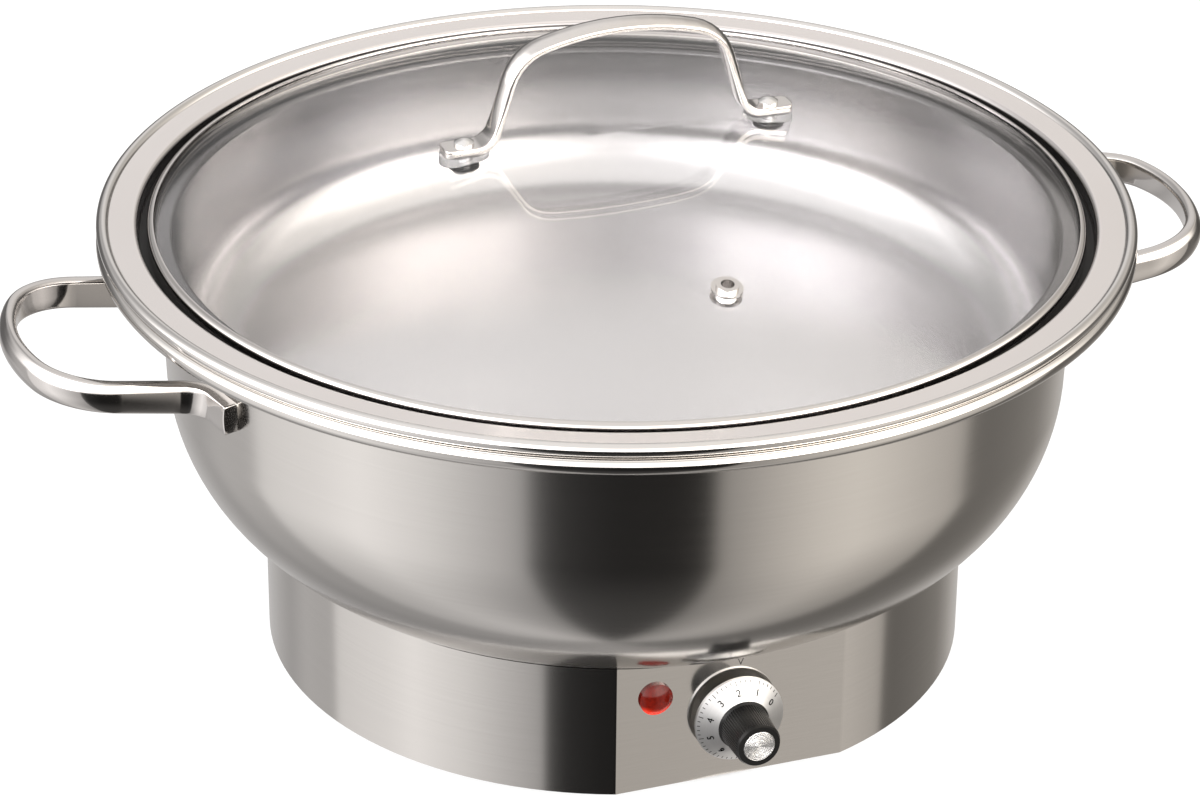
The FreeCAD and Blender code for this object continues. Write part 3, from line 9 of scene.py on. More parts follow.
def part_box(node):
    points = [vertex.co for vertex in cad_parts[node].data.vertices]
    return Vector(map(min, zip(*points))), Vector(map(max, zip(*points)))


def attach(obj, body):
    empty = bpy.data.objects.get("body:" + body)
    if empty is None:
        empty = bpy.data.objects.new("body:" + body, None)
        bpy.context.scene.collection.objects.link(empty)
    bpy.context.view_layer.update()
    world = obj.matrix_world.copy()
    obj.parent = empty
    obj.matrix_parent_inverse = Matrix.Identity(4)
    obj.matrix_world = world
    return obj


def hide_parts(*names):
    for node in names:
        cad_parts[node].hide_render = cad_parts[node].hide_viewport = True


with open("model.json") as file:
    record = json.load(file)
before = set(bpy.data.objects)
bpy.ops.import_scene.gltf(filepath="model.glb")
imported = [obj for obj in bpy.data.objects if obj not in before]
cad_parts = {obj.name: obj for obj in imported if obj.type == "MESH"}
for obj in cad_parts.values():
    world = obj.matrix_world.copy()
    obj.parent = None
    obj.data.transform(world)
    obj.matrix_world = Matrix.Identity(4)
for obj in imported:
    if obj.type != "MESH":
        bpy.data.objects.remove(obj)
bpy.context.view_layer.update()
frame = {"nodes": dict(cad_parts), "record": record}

MM = 0.001

# The camera stands in front of the bowl's axis, turned from the control panel by CAMERA_TURN.
CAMERA_TURN = math.radians(20.0)
CAMERA_BACK = 1.43784
CAMERA_HEIGHT = 0.8578
CAMERA_PITCH = math.radians(27.815)
CAMERA_YAW = math.radians(-0.231)
CAMERA_ROLL = math.radians(0.541)
CAMERA_LENS = 123.18

# Brightness round the studio, by the direction in degrees to the right of the camera.
# Low down it is dark behind the camera, with a large soft light at each side; higher up there is
# a bright light to each side of the camera and a pale wall opposite it.
LOW_LEVELS = (
    (-180, 0.6), (-153, 0.55), (-134, 0.44), (-122, 0.56), (-104.5, 0.53), (-103.5, 0.86),
    (-80, 1.0), (-68, 1.14), (-49, 0.91), (-35, 0.67), (-25, 0.52), (-22, 0.50),
    (-21, 0.09), (-15, 0.03), (0, 0.015), (26.0, 0.015), (27.0, 0.40), (32.5, 0.43),
    (39.5, 0.55), (54, 0.76), (65, 0.85), (86, 0.63), (96, 0.55), (100.5, 0.5),
    (101.5, 0.16), (106, 0.16), (123, 0.21), (137, 0.265), (155, 0.5), (180, 0.6),
)
HIGH_LEVELS = (
    (-180, 0.82), (-172, 0.76), (-160, 0.45), (-140, 0.5), (-120, 0.85), (-90, 2.6),
    (-62, 5.8), (-34, 5.8), (-20, 3.4), (0, 2.2), (20, 3.4), (34, 5.8), (62, 5.8),
    (90, 2.6), (120, 0.85), (140, 0.6), (160, 0.55), (172, 0.74), (180, 0.82),
)
CEILING_LEVEL = 1.0
# The ramps of the studio hold its brightness as a share of BRIGHTEST.
BRIGHTEST = 6.0
# The share of light that is lost straight below and in a low strip opposite the camera, and what is
# added back below.
TABLE_SHADE = 0.45
STRIP_SHADE = 0.7
TABLE_GLOW = 0.05

# The floor, in metres: past MIRROR_EDGE the metal sees the studio through it, and past GLOW_EDGE it
# glows white to the camera.
FLOOR_HALF = 6.0
MIRROR_EDGE = (0.139, 0.1395)
GLOW_EDGE = (0.122, 0.126)
GLOW_SHARE = 0.8
GLOW_STRENGTH = 1.12

# Where a finish, or painted light and shade, gives way to the next, in metres: levels on the bowl and
# pan, and radii on the pan.
RIM_LEVEL = (0.1730, 0.1745)
# Below the pan's floor level its steel is painted lighter, as painted light on the floor.
LIT_FLOOR_LEVEL = (0.1255, 0.145)
# The lid seat, between these levels and radii, is painted near black as painted shade in the narrow gap
# round the lid.
SHADED_SEAT_LEVEL = (0.1779, 0.1790)
SHADED_SEAT_START = (0.1780, 0.1800)
FLANGE_START = (0.1843, 0.1853)
CURL_START = (0.1946, 0.1956)
# How close together the brushed lines of the steel lie.
LINE_FINENESS = 2600.0

# Sizes of the turned pieces, in millimetres.
BOWL_FLOOR = 49.6
BOWL_FLAT = 99.7
BOWL_CORNER = 76.0
BOWL_RADIUS = 175.7
BOWL_WALL_START = 125.6
BOWL_TOP_RADIUS = 177.5
BOWL_FLANGE = 175.3
BEAD_CENTRE = 196.8
BEAD_RADIUS = 3.5
BEAD_LEVEL = 178.1
PAN_FLOOR = 121.8
PAN_FLAT = 143.0
PAN_CORNER = 25.0
PAN_FOOT = 168.0
PAN_MOUTH = 170.0
PAN_LEDGE = 177.8
PAN_STEP = 184.3
PAN_STEP_TOP = 184.9
CURL_RADIUS = 2.45
CURL_CENTRE = 197.55
RIM_TOP = 186.8
CURL_FOOT = 195.29
FLANGE_EDGE = 185.3
BAND_RADIUS = 180.8
BAND_BOTTOM = 178.1
BAND_TOP = 185.3
BAND_WALL = 0.8
BAND_ROUND = 2.3
BAND_LIP = 178.2
BAND_SEAT = 176.5
SHEET = 1.0

# How outlines are drawn, in millimetres and degrees: arcs above WIDE_ARC take finer steps, and long
# runs get a point close to each end. A turned piece is swept along a circle of SWEEP_RADIUS.
AXIS_NEAR = 0.1
LONG_RUN = 5.0
RUN_INSET = 0.04
WIDE_ARC = 20.0
WIDE_ARC_STEP = 3.0
ARC_STEP = 9.0
SWEEP_RADIUS = 150.0
TURNED_SIDES = 288

# The side handles, in millimetres: a bar with a crowned outside, and half of its centre line from the
# middle of the bow to the end of the tab, in a plane that rises outwards. Edges of bars that turn by
# more than BAR_SHARP degrees stay sharp.
BAR_THICKNESS = 6.4
BAR_BREADTH = 11.8
GRIP_CROWN = 2.8
GRIP_INNER_ROUND = 2.9
GRIP_OUTER_ROUND = 1.5
TAB_CROWN = 0.6
TAB_ROUND = 0.6
BAR_GAP = 2.5
BAR_SHARP = 50.0
BAR_TURN = math.radians(-2.6)
BAR_TILT = math.radians(7.7)
BAR_SHIFT = 1.617
BAR_LEVEL = 126.178
BAR_PATH = (
    (0.0, 237.878, -75.698), (25.890, 233.313, -30.0), (45.625, 205.645),
    (46.035, 182.149, 12.0), (54.067, 171.033), (64.449, 167.397),
)

# The strap of the lid, in millimetres: half of its centre line, from the middle of the arch to the toe.
# FOOT_START and FOOT_RUN are shares of that line.
STRAP_WIDTH = 11.0
STRAP_THICKNESS = 4.2
STRAP_CROWN = 2.2
STRAP_INNER_ROUND = 0.8
STRAP_OUTER_ROUND = 1.3
FOOT_THINNER = 0.9
FOOT_CROWN = 0.12
FOOT_OUTER_ROUND = 0.7
FOOT_START = 0.6
FOOT_RUN = 0.2
TOE_ROUND = 2.5
STRAP_GAP = 1.0
STRAP_PATH = (
    (0.0, 260.770, -112.063), (30.889, 256.429, -20.0), (44.502, 243.052),
    (50.350, 223.925, 8.0), (58.0, 218.264), (70.5, 218.264),
)

# The last ring of a bar is drawn in to END_SIZE over END_RUN millimetres.
END_RUN = 0.4
END_SIZE = 0.93

# The knob, in millimetres: the axis of its shaft on the panel, the cone of its dial, and its grip.
KNOB_X = 2.0
PANEL_Y = -131.3
KNOB_Z = 31.7
DIAL_RADIUS = 17.7
DIAL_RIM = 4.5
DIAL_HUB = 10.2
DIAL_FRONT = 9.1
GRIP_RADIUS = 9.3
GRIP_END_RADIUS = 8.7
GRIP_FOOT = 10.0
GRIP_END = 24.0
RIB_COUNT = 58
RIB_HALF = 0.33
RIB_HEIGHT = 0.32
RIB_SINK = 0.08
RIB_START = 0.2
RIB_SHORTER = 0.3

# The marks of the dial and the panel, in millimetres and degrees.
FIGURE_COUNT = 9
FIGURE_RADIUS = 13.3
FIGURE_HEIGHT = 2.7
FIGURE_LIFT = 0.04
FIRST_FIGURE = 30.0
FIGURE_STEP = 33.75
TICKS_PER_FIGURE = 5
TICK_LENGTH = 1.1
TICK_HALF = 0.13
LONG_TICK = 1.7
TICK_INSET = 0.5
MARK_THICKNESS = 0.12

# The black crosses painted as shade in place of the screws' cross recesses, and the radius of a screw's
# head, in millimetres.
CROSS_LONG = 1.9
CROSS_HALF = 0.35
SCREW_HEAD = 3.8


class Value:
    """One output of a node tree; sums, products and the like of values add Math nodes"""

    def __init__(self, tree, socket):
        self.tree = tree
        self.socket = socket

    def add(self, kind, settings=None, inputs=None, output=0):
        """A new node of this kind: its settings first, then its inputs by name or number"""
        node = self.tree.nodes.new(kind)
        for name, setting in (settings or {}).items():
            if name == "stops":
                fill_ramp(node.color_ramp, setting)
            else:
                setattr(node, name, setting)
        for key, value in (inputs or {}).items():
            if isinstance(value, Value):
                self.tree.links.new(value.socket, node.inputs[key])
            else:
                node.inputs[key].default_value = value
        return Value(self.tree, node.outputs[output]) if node.outputs else None

    def math(self, operation, *others):
        inputs = dict(enumerate((self, *others)))
        return self.add("ShaderNodeMath", {"operation": operation}, inputs)

    def __add__(self, other):
        return self.math("ADD", other)

    __radd__ = __add__

    def __mul__(self, other):
        return self.math("MULTIPLY", other)

    __rmul__ = __mul__

    def __sub__(self, other):
        return self.math("SUBTRACT", other)

    def __rsub__(self, other):
        return self.math("MULTIPLY_ADD", -1.0, other)

    def __truediv__(self, other):
        return self.math("DIVIDE", other)

    def step(self, low, high):
        """0 below low, 1 above high, smooth between"""
        settings = {"interpolation_type": "SMOOTHSTEP"}
        return self.add("ShaderNodeMapRange", settings, {0: self, 1: low, 2: high})

    def axes(self):
        """The x, y and z of a vector"""
        split = self.tree.nodes.new("ShaderNodeSeparateXYZ")
        self.tree.links.new(self.socket, split.inputs[0])
        return [Value(self.tree, socket) for socket in split.outputs]

    def vector(self, x, y, z):
        return self.add("ShaderNodeCombineXYZ", None, {0: x, 1: y, 2: z})

    def noise(self, scale, detail):
        inputs = {"Vector": self, "Scale": scale, "Detail": detail}
        return self.add("ShaderNodeTexNoise", None, inputs)

    def colour(self, low, high):
        """A colour between low and high, each three numbers or a colour value"""
        ends = [end if isinstance(end, Value) else (*end, 1.0) for end in (low, high)]
        inputs = {0: self, 6: ends[0], 7: ends[1]}
        return self.add("ShaderNodeMix", {"data_type": "RGBA"}, inputs, 2)


def fill_ramp(ramp, stops):
    """Grey stops of a colour ramp, as (place, level)"""
    while len(ramp.elements) < len(stops):
        ramp.elements.new(0.5)
    for element, (place, level) in zip(ramp.elements, stops):
        element.position = place
        element.color = (level, level, level, 1.0)


def source(tree, kind, output):
    """A node with nothing before it"""
    return Value(tree, tree.nodes.new(kind).outputs[output])


# Stage

def studio_level(direction, levels):
    """How bright the studio is in a direction, in turns to the right of the camera"""
    stops = [(degrees / 360 + 0.5, level / BRIGHTEST) for degrees, level in levels]
    ramp = direction.add("ShaderNodeValToRGB", {"stops": stops}, {0: direction + 0.5})
    return ramp * BRIGHTEST


def make_world():
    """A studio for metal and glass to reflect; to the camera, also through glass, it is white"""
    world = bpy.data.worlds.new("studio")
    bpy.context.scene.world = world
    world.use_nodes = True
    tree = world.node_tree
    tree.nodes.clear()
    x, y, z = source(tree, "ShaderNodeTexCoord", "Generated").axes()
    along = -math.sin(CAMERA_TURN) * x + -math.cos(CAMERA_TURN) * y
    across = math.cos(CAMERA_TURN) * x + -math.sin(CAMERA_TURN) * y
    direction = across.math("ARCTAN2", along) / (2 * math.pi)
    high = z.step(-0.05, 0.1)
    low_walls = studio_level(direction, LOW_LEVELS) * (1 - high)
    high_walls = studio_level(direction, HIGH_LEVELS) * high
    ceiling = z.step(0.55, 0.9)
    room = (low_walls + high_walls) * (1 - ceiling) + ceiling * CEILING_LEVEL
    table = (z * -1.0).step(0.5, 0.95)
    opposite = (along * -1.0).step(0.3, 0.8)
    strip = opposite * z.step(-0.4, -0.25) * (1 - z.step(0.12, 0.32))
    level = room * (1 - table * TABLE_SHADE - strip * STRIP_SHADE) + table * TABLE_GLOW
    warm = across.step(-0.3, 0.7)
    seen = source(tree, "ShaderNodeLightPath", "Is Camera Ray")
    through = source(tree, "ShaderNodeLightPath", "Is Transmission Ray")
    mirrored = source(tree, "ShaderNodeLightPath", "Glossy Depth")
    white = seen.math("MAXIMUM", through * mirrored.math("LESS_THAN", 0.5))
    green = level * (0.975 - warm * 0.035)
    blue = level * (0.965 - warm * 0.095)
    tint = white.colour(level.vector(level, green, blue), (1.0, 1.0, 1.0))
    shade = tint.add("ShaderNodeBackground", None, {"Color": tint, "Strength": 1.0})
    shade.add("ShaderNodeOutputWorld", None, {"Surface": shade})


def make_floor():
    """A pale floor: white with a faint shadow to the camera; the metal sees the studio through it"""
    material = bpy.data.materials.new("floor")
    material.use_nodes = True
    tree = material.node_tree
    tree.nodes.clear()
    spot = source(tree, "ShaderNodeTexCoord", "Object")
    x, y, _ = spot.axes()
    radius = round_axis(x, y)
    outside = radius.step(*MIRROR_EDGE)
    lit = radius.step(*GLOW_EDGE)
    seen = source(tree, "ShaderNodeLightPath", "Is Camera Ray")
    through = source(tree, "ShaderNodeLightPath", "Is Transmission Ray")
    mirrored = source(tree, "ShaderNodeLightPath", "Is Glossy Ray")
    matt = spot.add("ShaderNodeBsdfDiffuse", None, {"Color": (0.8, 0.8, 0.8, 1.0)})
    white = {"Color": (1.0, 1.0, 1.0, 1.0), "Strength": GLOW_STRENGTH}
    glow = spot.add("ShaderNodeEmission", None, white)
    open_air = spot.add("ShaderNodeBsdfTransparent")
    shown = seen.math("MAXIMUM", through)
    mixed = {0: shown * lit * GLOW_SHARE, 1: matt, 2: glow}
    plain = shown.add("ShaderNodeMixShader", None, mixed)
    opened = {0: mirrored * outside, 1: plain, 2: open_air}
    both = mirrored.add("ShaderNodeMixShader", None, opened)
    both.add("ShaderNodeOutputMaterial", None, {"Surface": both})
    half = FLOOR_HALF
    corners = [(-half, -half, 0), (half, -half, 0), (half, half, 0), (-half, half, 0)]
    mesh = bpy.data.meshes.new("floor")
    mesh.from_pydata(corners, [], [(0, 1, 2, 3)])
    mesh.materials.append(material)
    floor = bpy.data.objects.new("floor", mesh)
    bpy.context.scene.collection.objects.link(floor)


def make_camera():
    """A camera at the photograph's viewing angle"""
    ahead = Vector((
        math.cos(CAMERA_PITCH) * math.sin(CAMERA_YAW),
        math.cos(CAMERA_PITCH) * math.cos(CAMERA_YAW),
        -math.sin(CAMERA_PITCH),
    ))
    right = ahead.cross(Vector((0, 0, 1))).normalized()
    up = right.cross(ahead)
    side = right * math.cos(CAMERA_ROLL) + up * math.sin(CAMERA_ROLL)
    top = up * math.cos(CAMERA_ROLL) - right * math.sin(CAMERA_ROLL)
    axes = Matrix((side, top, -ahead)).transposed().to_4x4()
    place = Matrix.Translation((0, -CAMERA_BACK, CAMERA_HEIGHT))
    data = bpy.data.cameras.new("camera")
    data.sensor_width = 36.0
    data.lens = CAMERA_LENS
    data.clip_start = 0.05
    data.clip_end = 50.0
    camera = bpy.data.objects.new("camera", data)
    camera.matrix_world = Matrix.Rotation(-CAMERA_TURN, 4, "Z") @ place @ axes
    bpy.context.scene.collection.objects.link(camera)
    bpy.context.scene.camera = camera


# Finishes

def new_finish(name):
    """A material with no nodes yet, and the place on the piece that its pattern follows"""
    material = bpy.data.materials.new(name)
    material.use_nodes = True
    tree = material.node_tree
    tree.nodes.clear()
    return material, source(tree, "ShaderNodeTexCoord", "Object")


def grey(level):
    return (level, level, level)


def surface(spot, **inputs):
    """The one shader of a finish; names with _ stand for names with a space"""
    plain = {name.replace("_", " "): value for name, value in inputs.items()}
    shader = spot.add("ShaderNodeBsdfPrincipled", None, plain)
    shader.add("ShaderNodeOutputMaterial", None, {"Surface": shader})


def bump(height, strength, distance):
    """The normals of a surface with this relief"""
    inputs = {"Height": height, "Strength": strength, "Distance": distance}
    return height.add("ShaderNodeBump", None, inputs)


def round_axis(x, y):
    """The distance from the Z axis"""
    return (x * x + y * y).math("SQRT")


def turned_lines(spot):
    """Fine lines that run round the Z axis"""
    x, y, z = spot.axes()
    turn = y.math("ARCTAN2", x)
    lines = spot.vector(turn * 2.0, z * LINE_FINENESS, round_axis(x, y) * LINE_FINENESS)
    return lines.noise(1.0, 3.0)


def base_steel():
    """Steel polished along the wall, with a satin panel"""
    material, spot = new_finish("base_steel")
    x, y, z = spot.axes()
    front = -PANEL_Y * MM
    panel = (y * -1.0).step(front - 0.0004, front - 0.0002)
    lines = turned_lines(spot)
    cloud = spot.noise(14.0, 3.0)
    grain = spot.vector(x * 60.0, y * 60.0, z * 2400.0).noise(1.0, 3.0)
    wall = lines.colour((0.64, 0.62, 0.597), (0.70, 0.68, 0.655))
    satin = grain.colour((0.62, 0.60, 0.575), (0.68, 0.66, 0.635))
    surface(
        spot,
        Base_Color=panel.colour(wall, satin),
        Metallic=1.0,
        Roughness=0.125 + (cloud - 0.5) * 0.04 - panel * 0.03,
        Normal=bump(lines * (1 - panel) + grain * panel, 0.05, 0.00003),
    )
    return material


def bowl_steel():
    """Steel brushed round the bowl, with a bright rolled rim"""
    material, spot = new_finish("bowl_steel")
    rim = spot.axes()[2].step(*RIM_LEVEL)
    lines = turned_lines(spot)
    cloud = spot.noise(14.0, 3.0)
    surface(
        spot,
        Base_Color=lines.colour((0.67, 0.65, 0.625), (0.73, 0.71, 0.685)),
        Metallic=1.0,
        Roughness=0.165 + (lines - 0.5) * 0.05 + (cloud - 0.5) * 0.03 - rim * 0.06,
        Normal=bump(lines * (1 - rim), 0.08, 0.00004),
    )
    return material


def pan_steel():
    """A brushed pan with painted light and shade: a floor painted pale, a wall painted darker, a warm
    satin flange, a bright curl and a lid seat painted dark
    """
    material, spot = new_finish("pan_steel")
    x, y, z = spot.axes()
    radius = round_axis(x, y)
    flange = radius.step(*FLANGE_START)
    curl = radius.step(*CURL_START)
    floor = 1 - z.step(*LIT_FLOOR_LEVEL)
    # The seat is painted near black: painted shade in the narrow gap between the lid's band and the
    # pan's step.
    seat_shade = radius.step(*SHADED_SEAT_START) * (1 - z.step(*SHADED_SEAT_LEVEL)) * (1 - flange)
    lines = turned_lines(spot)
    cloud = spot.noise(14.0, 3.0)
    # The floor is painted far lighter than the wall of the same steel: painted light on the floor,
    # painted shade on the wall.
    inside = floor.colour((0.34, 0.331, 0.336), (0.92, 0.912, 0.915))
    warm = cloud.colour((0.90, 0.86, 0.84), (0.96, 0.92, 0.90))
    rim = curl.colour(warm, (0.80, 0.78, 0.76))
    whole = flange.colour(inside, rim)
    surface(
        spot,
        Base_Color=seat_shade.colour(whole, grey(0.05)),
        Metallic=1.0,
        Roughness=0.2 + (lines - 0.5) * 0.05 + floor * 0.02 - curl * 0.09 + seat_shade * 0.3,
        Anisotropic=0.6,
        Anisotropic_Rotation=0.25,
        Normal=bump(lines * (1 - flange), 0.06, 0.00004),
    )
    return material


def plate_steel():
    """Mill-finish sheet under the base"""
    material, spot = new_finish("plate_steel")
    x, y, z = spot.axes()
    grain = spot.vector(x * 1800.0, y * 90.0, z * 90.0).noise(1.0, 3.0)
    cloud = spot.noise(18.0, 3.0)
    surface(
        spot,
        Base_Color=cloud.colour((0.54, 0.53, 0.51), (0.64, 0.63, 0.61)),
        Metallic=1.0,
        Roughness=0.36 + (grain - 0.5) * 0.12,
        Normal=bump(grain, 0.1, 0.00004),
    )
    return material


def bright_steel(name, rough=0.09, low=(0.69, 0.665, 0.645), high=(0.77, 0.745, 0.725)):
    """Polished steel with faint wheel marks"""
    material, spot = new_finish(name)
    marks = spot.noise(900.0, 2.0)
    cloud = spot.noise(30.0, 3.0)
    surface(
        spot,
        Base_Color=cloud.colour(low, high),
        Metallic=1.0,
        Roughness=rough + (cloud - 0.5) * 0.05 + (marks - 0.5) * 0.03,
    )
    return material


def plain_metal(name, low, high, rough):
    """Plated or cast metal with a fine grain"""
    material, spot = new_finish(name)
    grain = spot.noise(1400.0, 4.0)
    cloud = spot.noise(60.0, 2.0)
    surface(
        spot,
        Base_Color=cloud.colour(low, high),
        Metallic=1.0,
        Roughness=rough + (grain - 0.5) * 0.16,
        Normal=bump(grain, 0.12, 0.00006),
    )
    return material


def lathe_rings(spot, rings):
    """The rings that a lathe leaves round the knob's axis"""
    x, y, z = spot.axes()
    across = x - KNOB_X * MM
    height = z - KNOB_Z * MM
    radius = round_axis(across, height)
    turn = height.math("ARCTAN2", across)
    return spot.vector(radius * rings, turn * 0.6, y * rings * 0.2).noise(1.0, 2.0)


def dial_metal():
    """A spun aluminium dial"""
    material, spot = new_finish("dial_metal")
    lines = lathe_rings(spot, 9000.0)
    surface(
        spot,
        Base_Color=lines.colour(grey(0.46), grey(0.56)),
        Metallic=1.0,
        Roughness=0.42 + (lines - 0.5) * 0.1,
        Normal=bump(lines, 0.3, 0.00005),
    )
    return material


def cap_metal():
    """A spun aluminium cap with coarse lathe rings"""
    material, spot = new_finish("cap_metal")
    lines = lathe_rings(spot, 12000.0)
    surface(
        spot,
        Base_Color=lines.colour(grey(0.66), grey(0.82)),
        Metallic=1.0,
        Roughness=0.2 + (lines - 0.5) * 0.1,
        Normal=bump(lines, 1.0, 0.0003),
    )
    return material


def moulded(name, low, high, rough, speckle=1800.0, depth=0.15, shine=0.5):
    """Moulded plastic or rubber with a fine texture"""
    material, spot = new_finish(name)
    grain = spot.noise(speckle, 3.0)
    cloud = spot.noise(45.0, 2.0)
    surface(
        spot,
        Base_Color=cloud.colour(low, high),
        Roughness=rough + (grain - 0.5) * 0.14,
        Specular_IOR_Level=shine,
        Normal=bump(grain, depth, 0.00008),
    )
    return material


def milky_silicone():
    """The see-through grey of the small pads under the lid's handle"""
    material, spot = new_finish("milky_silicone")
    cloud = spot.noise(160.0, 2.0)
    surface(
        spot,
        Base_Color=cloud.colour((0.72, 0.72, 0.73), (0.82, 0.82, 0.83)),
        Roughness=0.16 + (cloud - 0.5) * 0.1,
        Transmission_Weight=0.85,
        IOR=1.41,
    )
    return material


def clear_glass():
    """The clear glass of the lid, with the faintest tint"""
    material, spot = new_finish("lid_glass")
    film = spot.noise(7.0, 2.0)
    surface(
        spot,
        Base_Color=film.colour((0.965, 0.965, 0.97), (0.99, 0.99, 0.99)),
        Roughness=0.0,
        Transmission_Weight=1.0,
        IOR=1.47,
    )
    return material


def red_lens():
    """A clear red lens, dark where the lamp behind it is out, with painted light making it brighter
    along its lower edge
    """
    material, spot = new_finish("lamp_lens")
    x, _, z = spot.axes()
    low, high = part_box("lamp_lens")
    across = x - (low.x + high.x) / 2
    height = z - (low.z + high.z) / 2
    # The ring along the lower edge is painted bright red: painted light caught in the lens.
    edge = round_axis(across, height).step(0.002, 0.0066)
    lit_low_side = (height * -1.0).step(0.001, 0.0062)
    glow = edge * lit_low_side
    speckle = spot.noise(700.0, 2.0)
    surface(
        spot,
        Base_Color=(glow + speckle * 0.12).colour((0.035, 0.003, 0.002), (0.80, 0.03, 0.008)),
        Roughness=0.12 + (speckle - 0.5) * 0.04,
        Specular_IOR_Level=0.22,
    )
    return material


def dress():
    """A finish for every slot of the record, and one for ink; every node gets the finish of its slot"""
    finishes = {
        "base_steel": base_steel(),
        "bowl_steel": bowl_steel(),
        "pan_steel": pan_steel(),
        "plate_steel": plate_steel(),
        "handle_steel": bright_steel("handle_steel"),
        "band_steel": bright_steel("band_steel"),
        "strap_steel": bright_steel("strap_steel", 0.13),
        "rivet_steel": bright_steel("rivet_steel", 0.2, (0.86, 0.85, 0.84), (0.92, 0.91, 0.90)),
        "eyelet_steel": bright_steel("eyelet_steel", 0.12),
        "zinc_steel": plain_metal("zinc_steel", (0.55, 0.55, 0.53), (0.66, 0.66, 0.63), 0.36),
        "glass": clear_glass(),
        "silicone": moulded("silicone", grey(0.012), grey(0.03), 0.55),
        "rubber": moulded("rubber", grey(0.012), grey(0.03), 0.7, 1200.0, 0.3),
        "heater_metal": plain_metal("heater_metal", grey(0.6), grey(0.74), 0.45),
        "element_steel": plain_metal("element_steel", (0.12, 0.12, 0.115), (0.22, 0.22, 0.21), 0.42),
        "cutout_plastic": moulded("cutout_plastic", (0.72, 0.70, 0.64), (0.82, 0.8, 0.75), 0.5),
        "control_plastic": moulded("control_plastic", (0.66, 0.63, 0.55), (0.76, 0.74, 0.66), 0.5),
        "block_plastic": moulded("block_plastic", (0.76, 0.75, 0.7), (0.84, 0.83, 0.79), 0.45),
        "wire_plastic": moulded("wire_plastic", (0.62, 0.6, 0.55), (0.76, 0.74, 0.68), 0.5),
        "copper": plain_metal("copper", (0.62, 0.34, 0.2), (0.76, 0.46, 0.3), 0.32),
        "black_plastic": moulded("black_plastic", (0.014, 0.014, 0.015), (0.03, 0.03, 0.032), 0.42),
        "knob_plastic": moulded("knob_plastic", grey(0.003), grey(0.006), 0.3, shine=0.2),
        "ink": moulded("ink", grey(0.002), grey(0.004), 0.9, shine=0.0),
        "dial_metal": dial_metal(),
        "cap_metal": cap_metal(),
        "lamp_plastic": moulded("lamp_plastic", grey(0.03), grey(0.06), 0.45),
        "lens_plastic": red_lens(),
    }
    for part in frame["record"]["subparts"]:
        mesh = frame["nodes"][part["node"]].data
        mesh.materials.clear()
        mesh.materials.append(finishes[part["material_slot"]])
    frame["nodes"]["lid_pads"].data.materials[0] = milky_silicone()
    return finishes


# Makers: node trees that grow a piece from a seed mesh

def new_maker(name, sizes):
    """An empty tree with a seed mesh, the named sizes and a finish as its inputs"""
    tree = bpy.data.node_groups.new(name, "GeometryNodeTree")
    kinds = {"Geometry": "NodeSocketGeometry", **sizes, "Finish": "NodeSocketMaterial"}
    for label, kind in kinds.items():
        tree.interface.new_socket(label, in_out="INPUT", socket_type=kind)
    tree.interface.new_socket("Geometry", in_out="OUTPUT", socket_type="NodeSocketGeometry")
    given = tree.nodes.new("NodeGroupInput").outputs
    return tree, {label: Value(tree, given[label]) for label in kinds}


def end_maker(shape, finish):
    """The end of every tree: real geometry with its finish"""
    whole = shape.add("GeometryNodeRealizeInstances", None, {"Geometry": shape})
    done = whole.add("GeometryNodeSetMaterial", None, {"Geometry": whole, "Material": finish})
    done.add("NodeGroupOutput", None, {"Geometry": done})


def turning_maker():
    """Turns an outline round the Z axis: it is swept along a circle that lies level"""
    sizes = {"Path radius": "NodeSocketFloat", "Sides": "NodeSocketInt"}
    tree, given = new_maker("turned_sheet", sizes)
    outline_mesh = given["Geometry"]
    profile = outline_mesh.add("GeometryNodeMeshToCurve", None, {"Mesh": outline_mesh})
    around = {"Resolution": given["Sides"], "Radius": given["Path radius"]}
    circle = profile.add("GeometryNodeCurvePrimitiveCircle", None, around)
    path = circle.add("GeometryNodeSetCurveNormal", {"mode": "Z_UP"}, {"Curve": circle})
    sheet = path.add("GeometryNodeCurveToMesh", None, {"Curve": path, "Profile Curve": profile})
    closed = sheet.add("GeometryNodeMergeByDistance", None, {"Geometry": sheet, "Distance": 0.00001})
    smooth = closed.add("GeometryNodeSetShadeSmooth", None, {"Geometry": closed})
    end_maker(smooth, given["Finish"])
    return tree


def ring_maker():
    """Sets copies of one piece round the Z axis; every so many of them, one is stretched along x"""
    sizes = {"Count": "NodeSocketInt", "Every": "NodeSocketInt"}
    for label in ("Start", "Step", "Radius", "Rise", "Tilt", "Stretch"):
        sizes[label] = "NodeSocketFloat"
    tree, given = new_maker("ring_of_pieces", sizes)
    number = source(tree, "GeometryNodeInputIndex", 0)
    angle = given["Start"] + number * given["Step"]
    x = angle.math("COSINE") * given["Radius"]
    y = angle.math("SINE") * given["Radius"]
    place = {"Count": given["Count"], "Position": x.vector(x, y, given["Rise"])}
    points = x.add("GeometryNodePoints", None, place)
    lean = angle.vector(0.0, given["Tilt"], angle)
    turn = lean.add("FunctionNodeEulerToRotation", None, {"Euler": lean})
    longer = number.math("MODULO", given["Every"]).math("LESS_THAN", 0.5)
    length = 1 + longer * (given["Stretch"] - 1)
    copies = {"Points": points, "Instance": given["Geometry"], "Rotation": turn}
    copies["Scale"] = length.vector(length, 1.0, 1.0)
    ring = points.add("GeometryNodeInstanceOnPoints", None, copies)
    end_maker(ring, given["Finish"])
    return tree


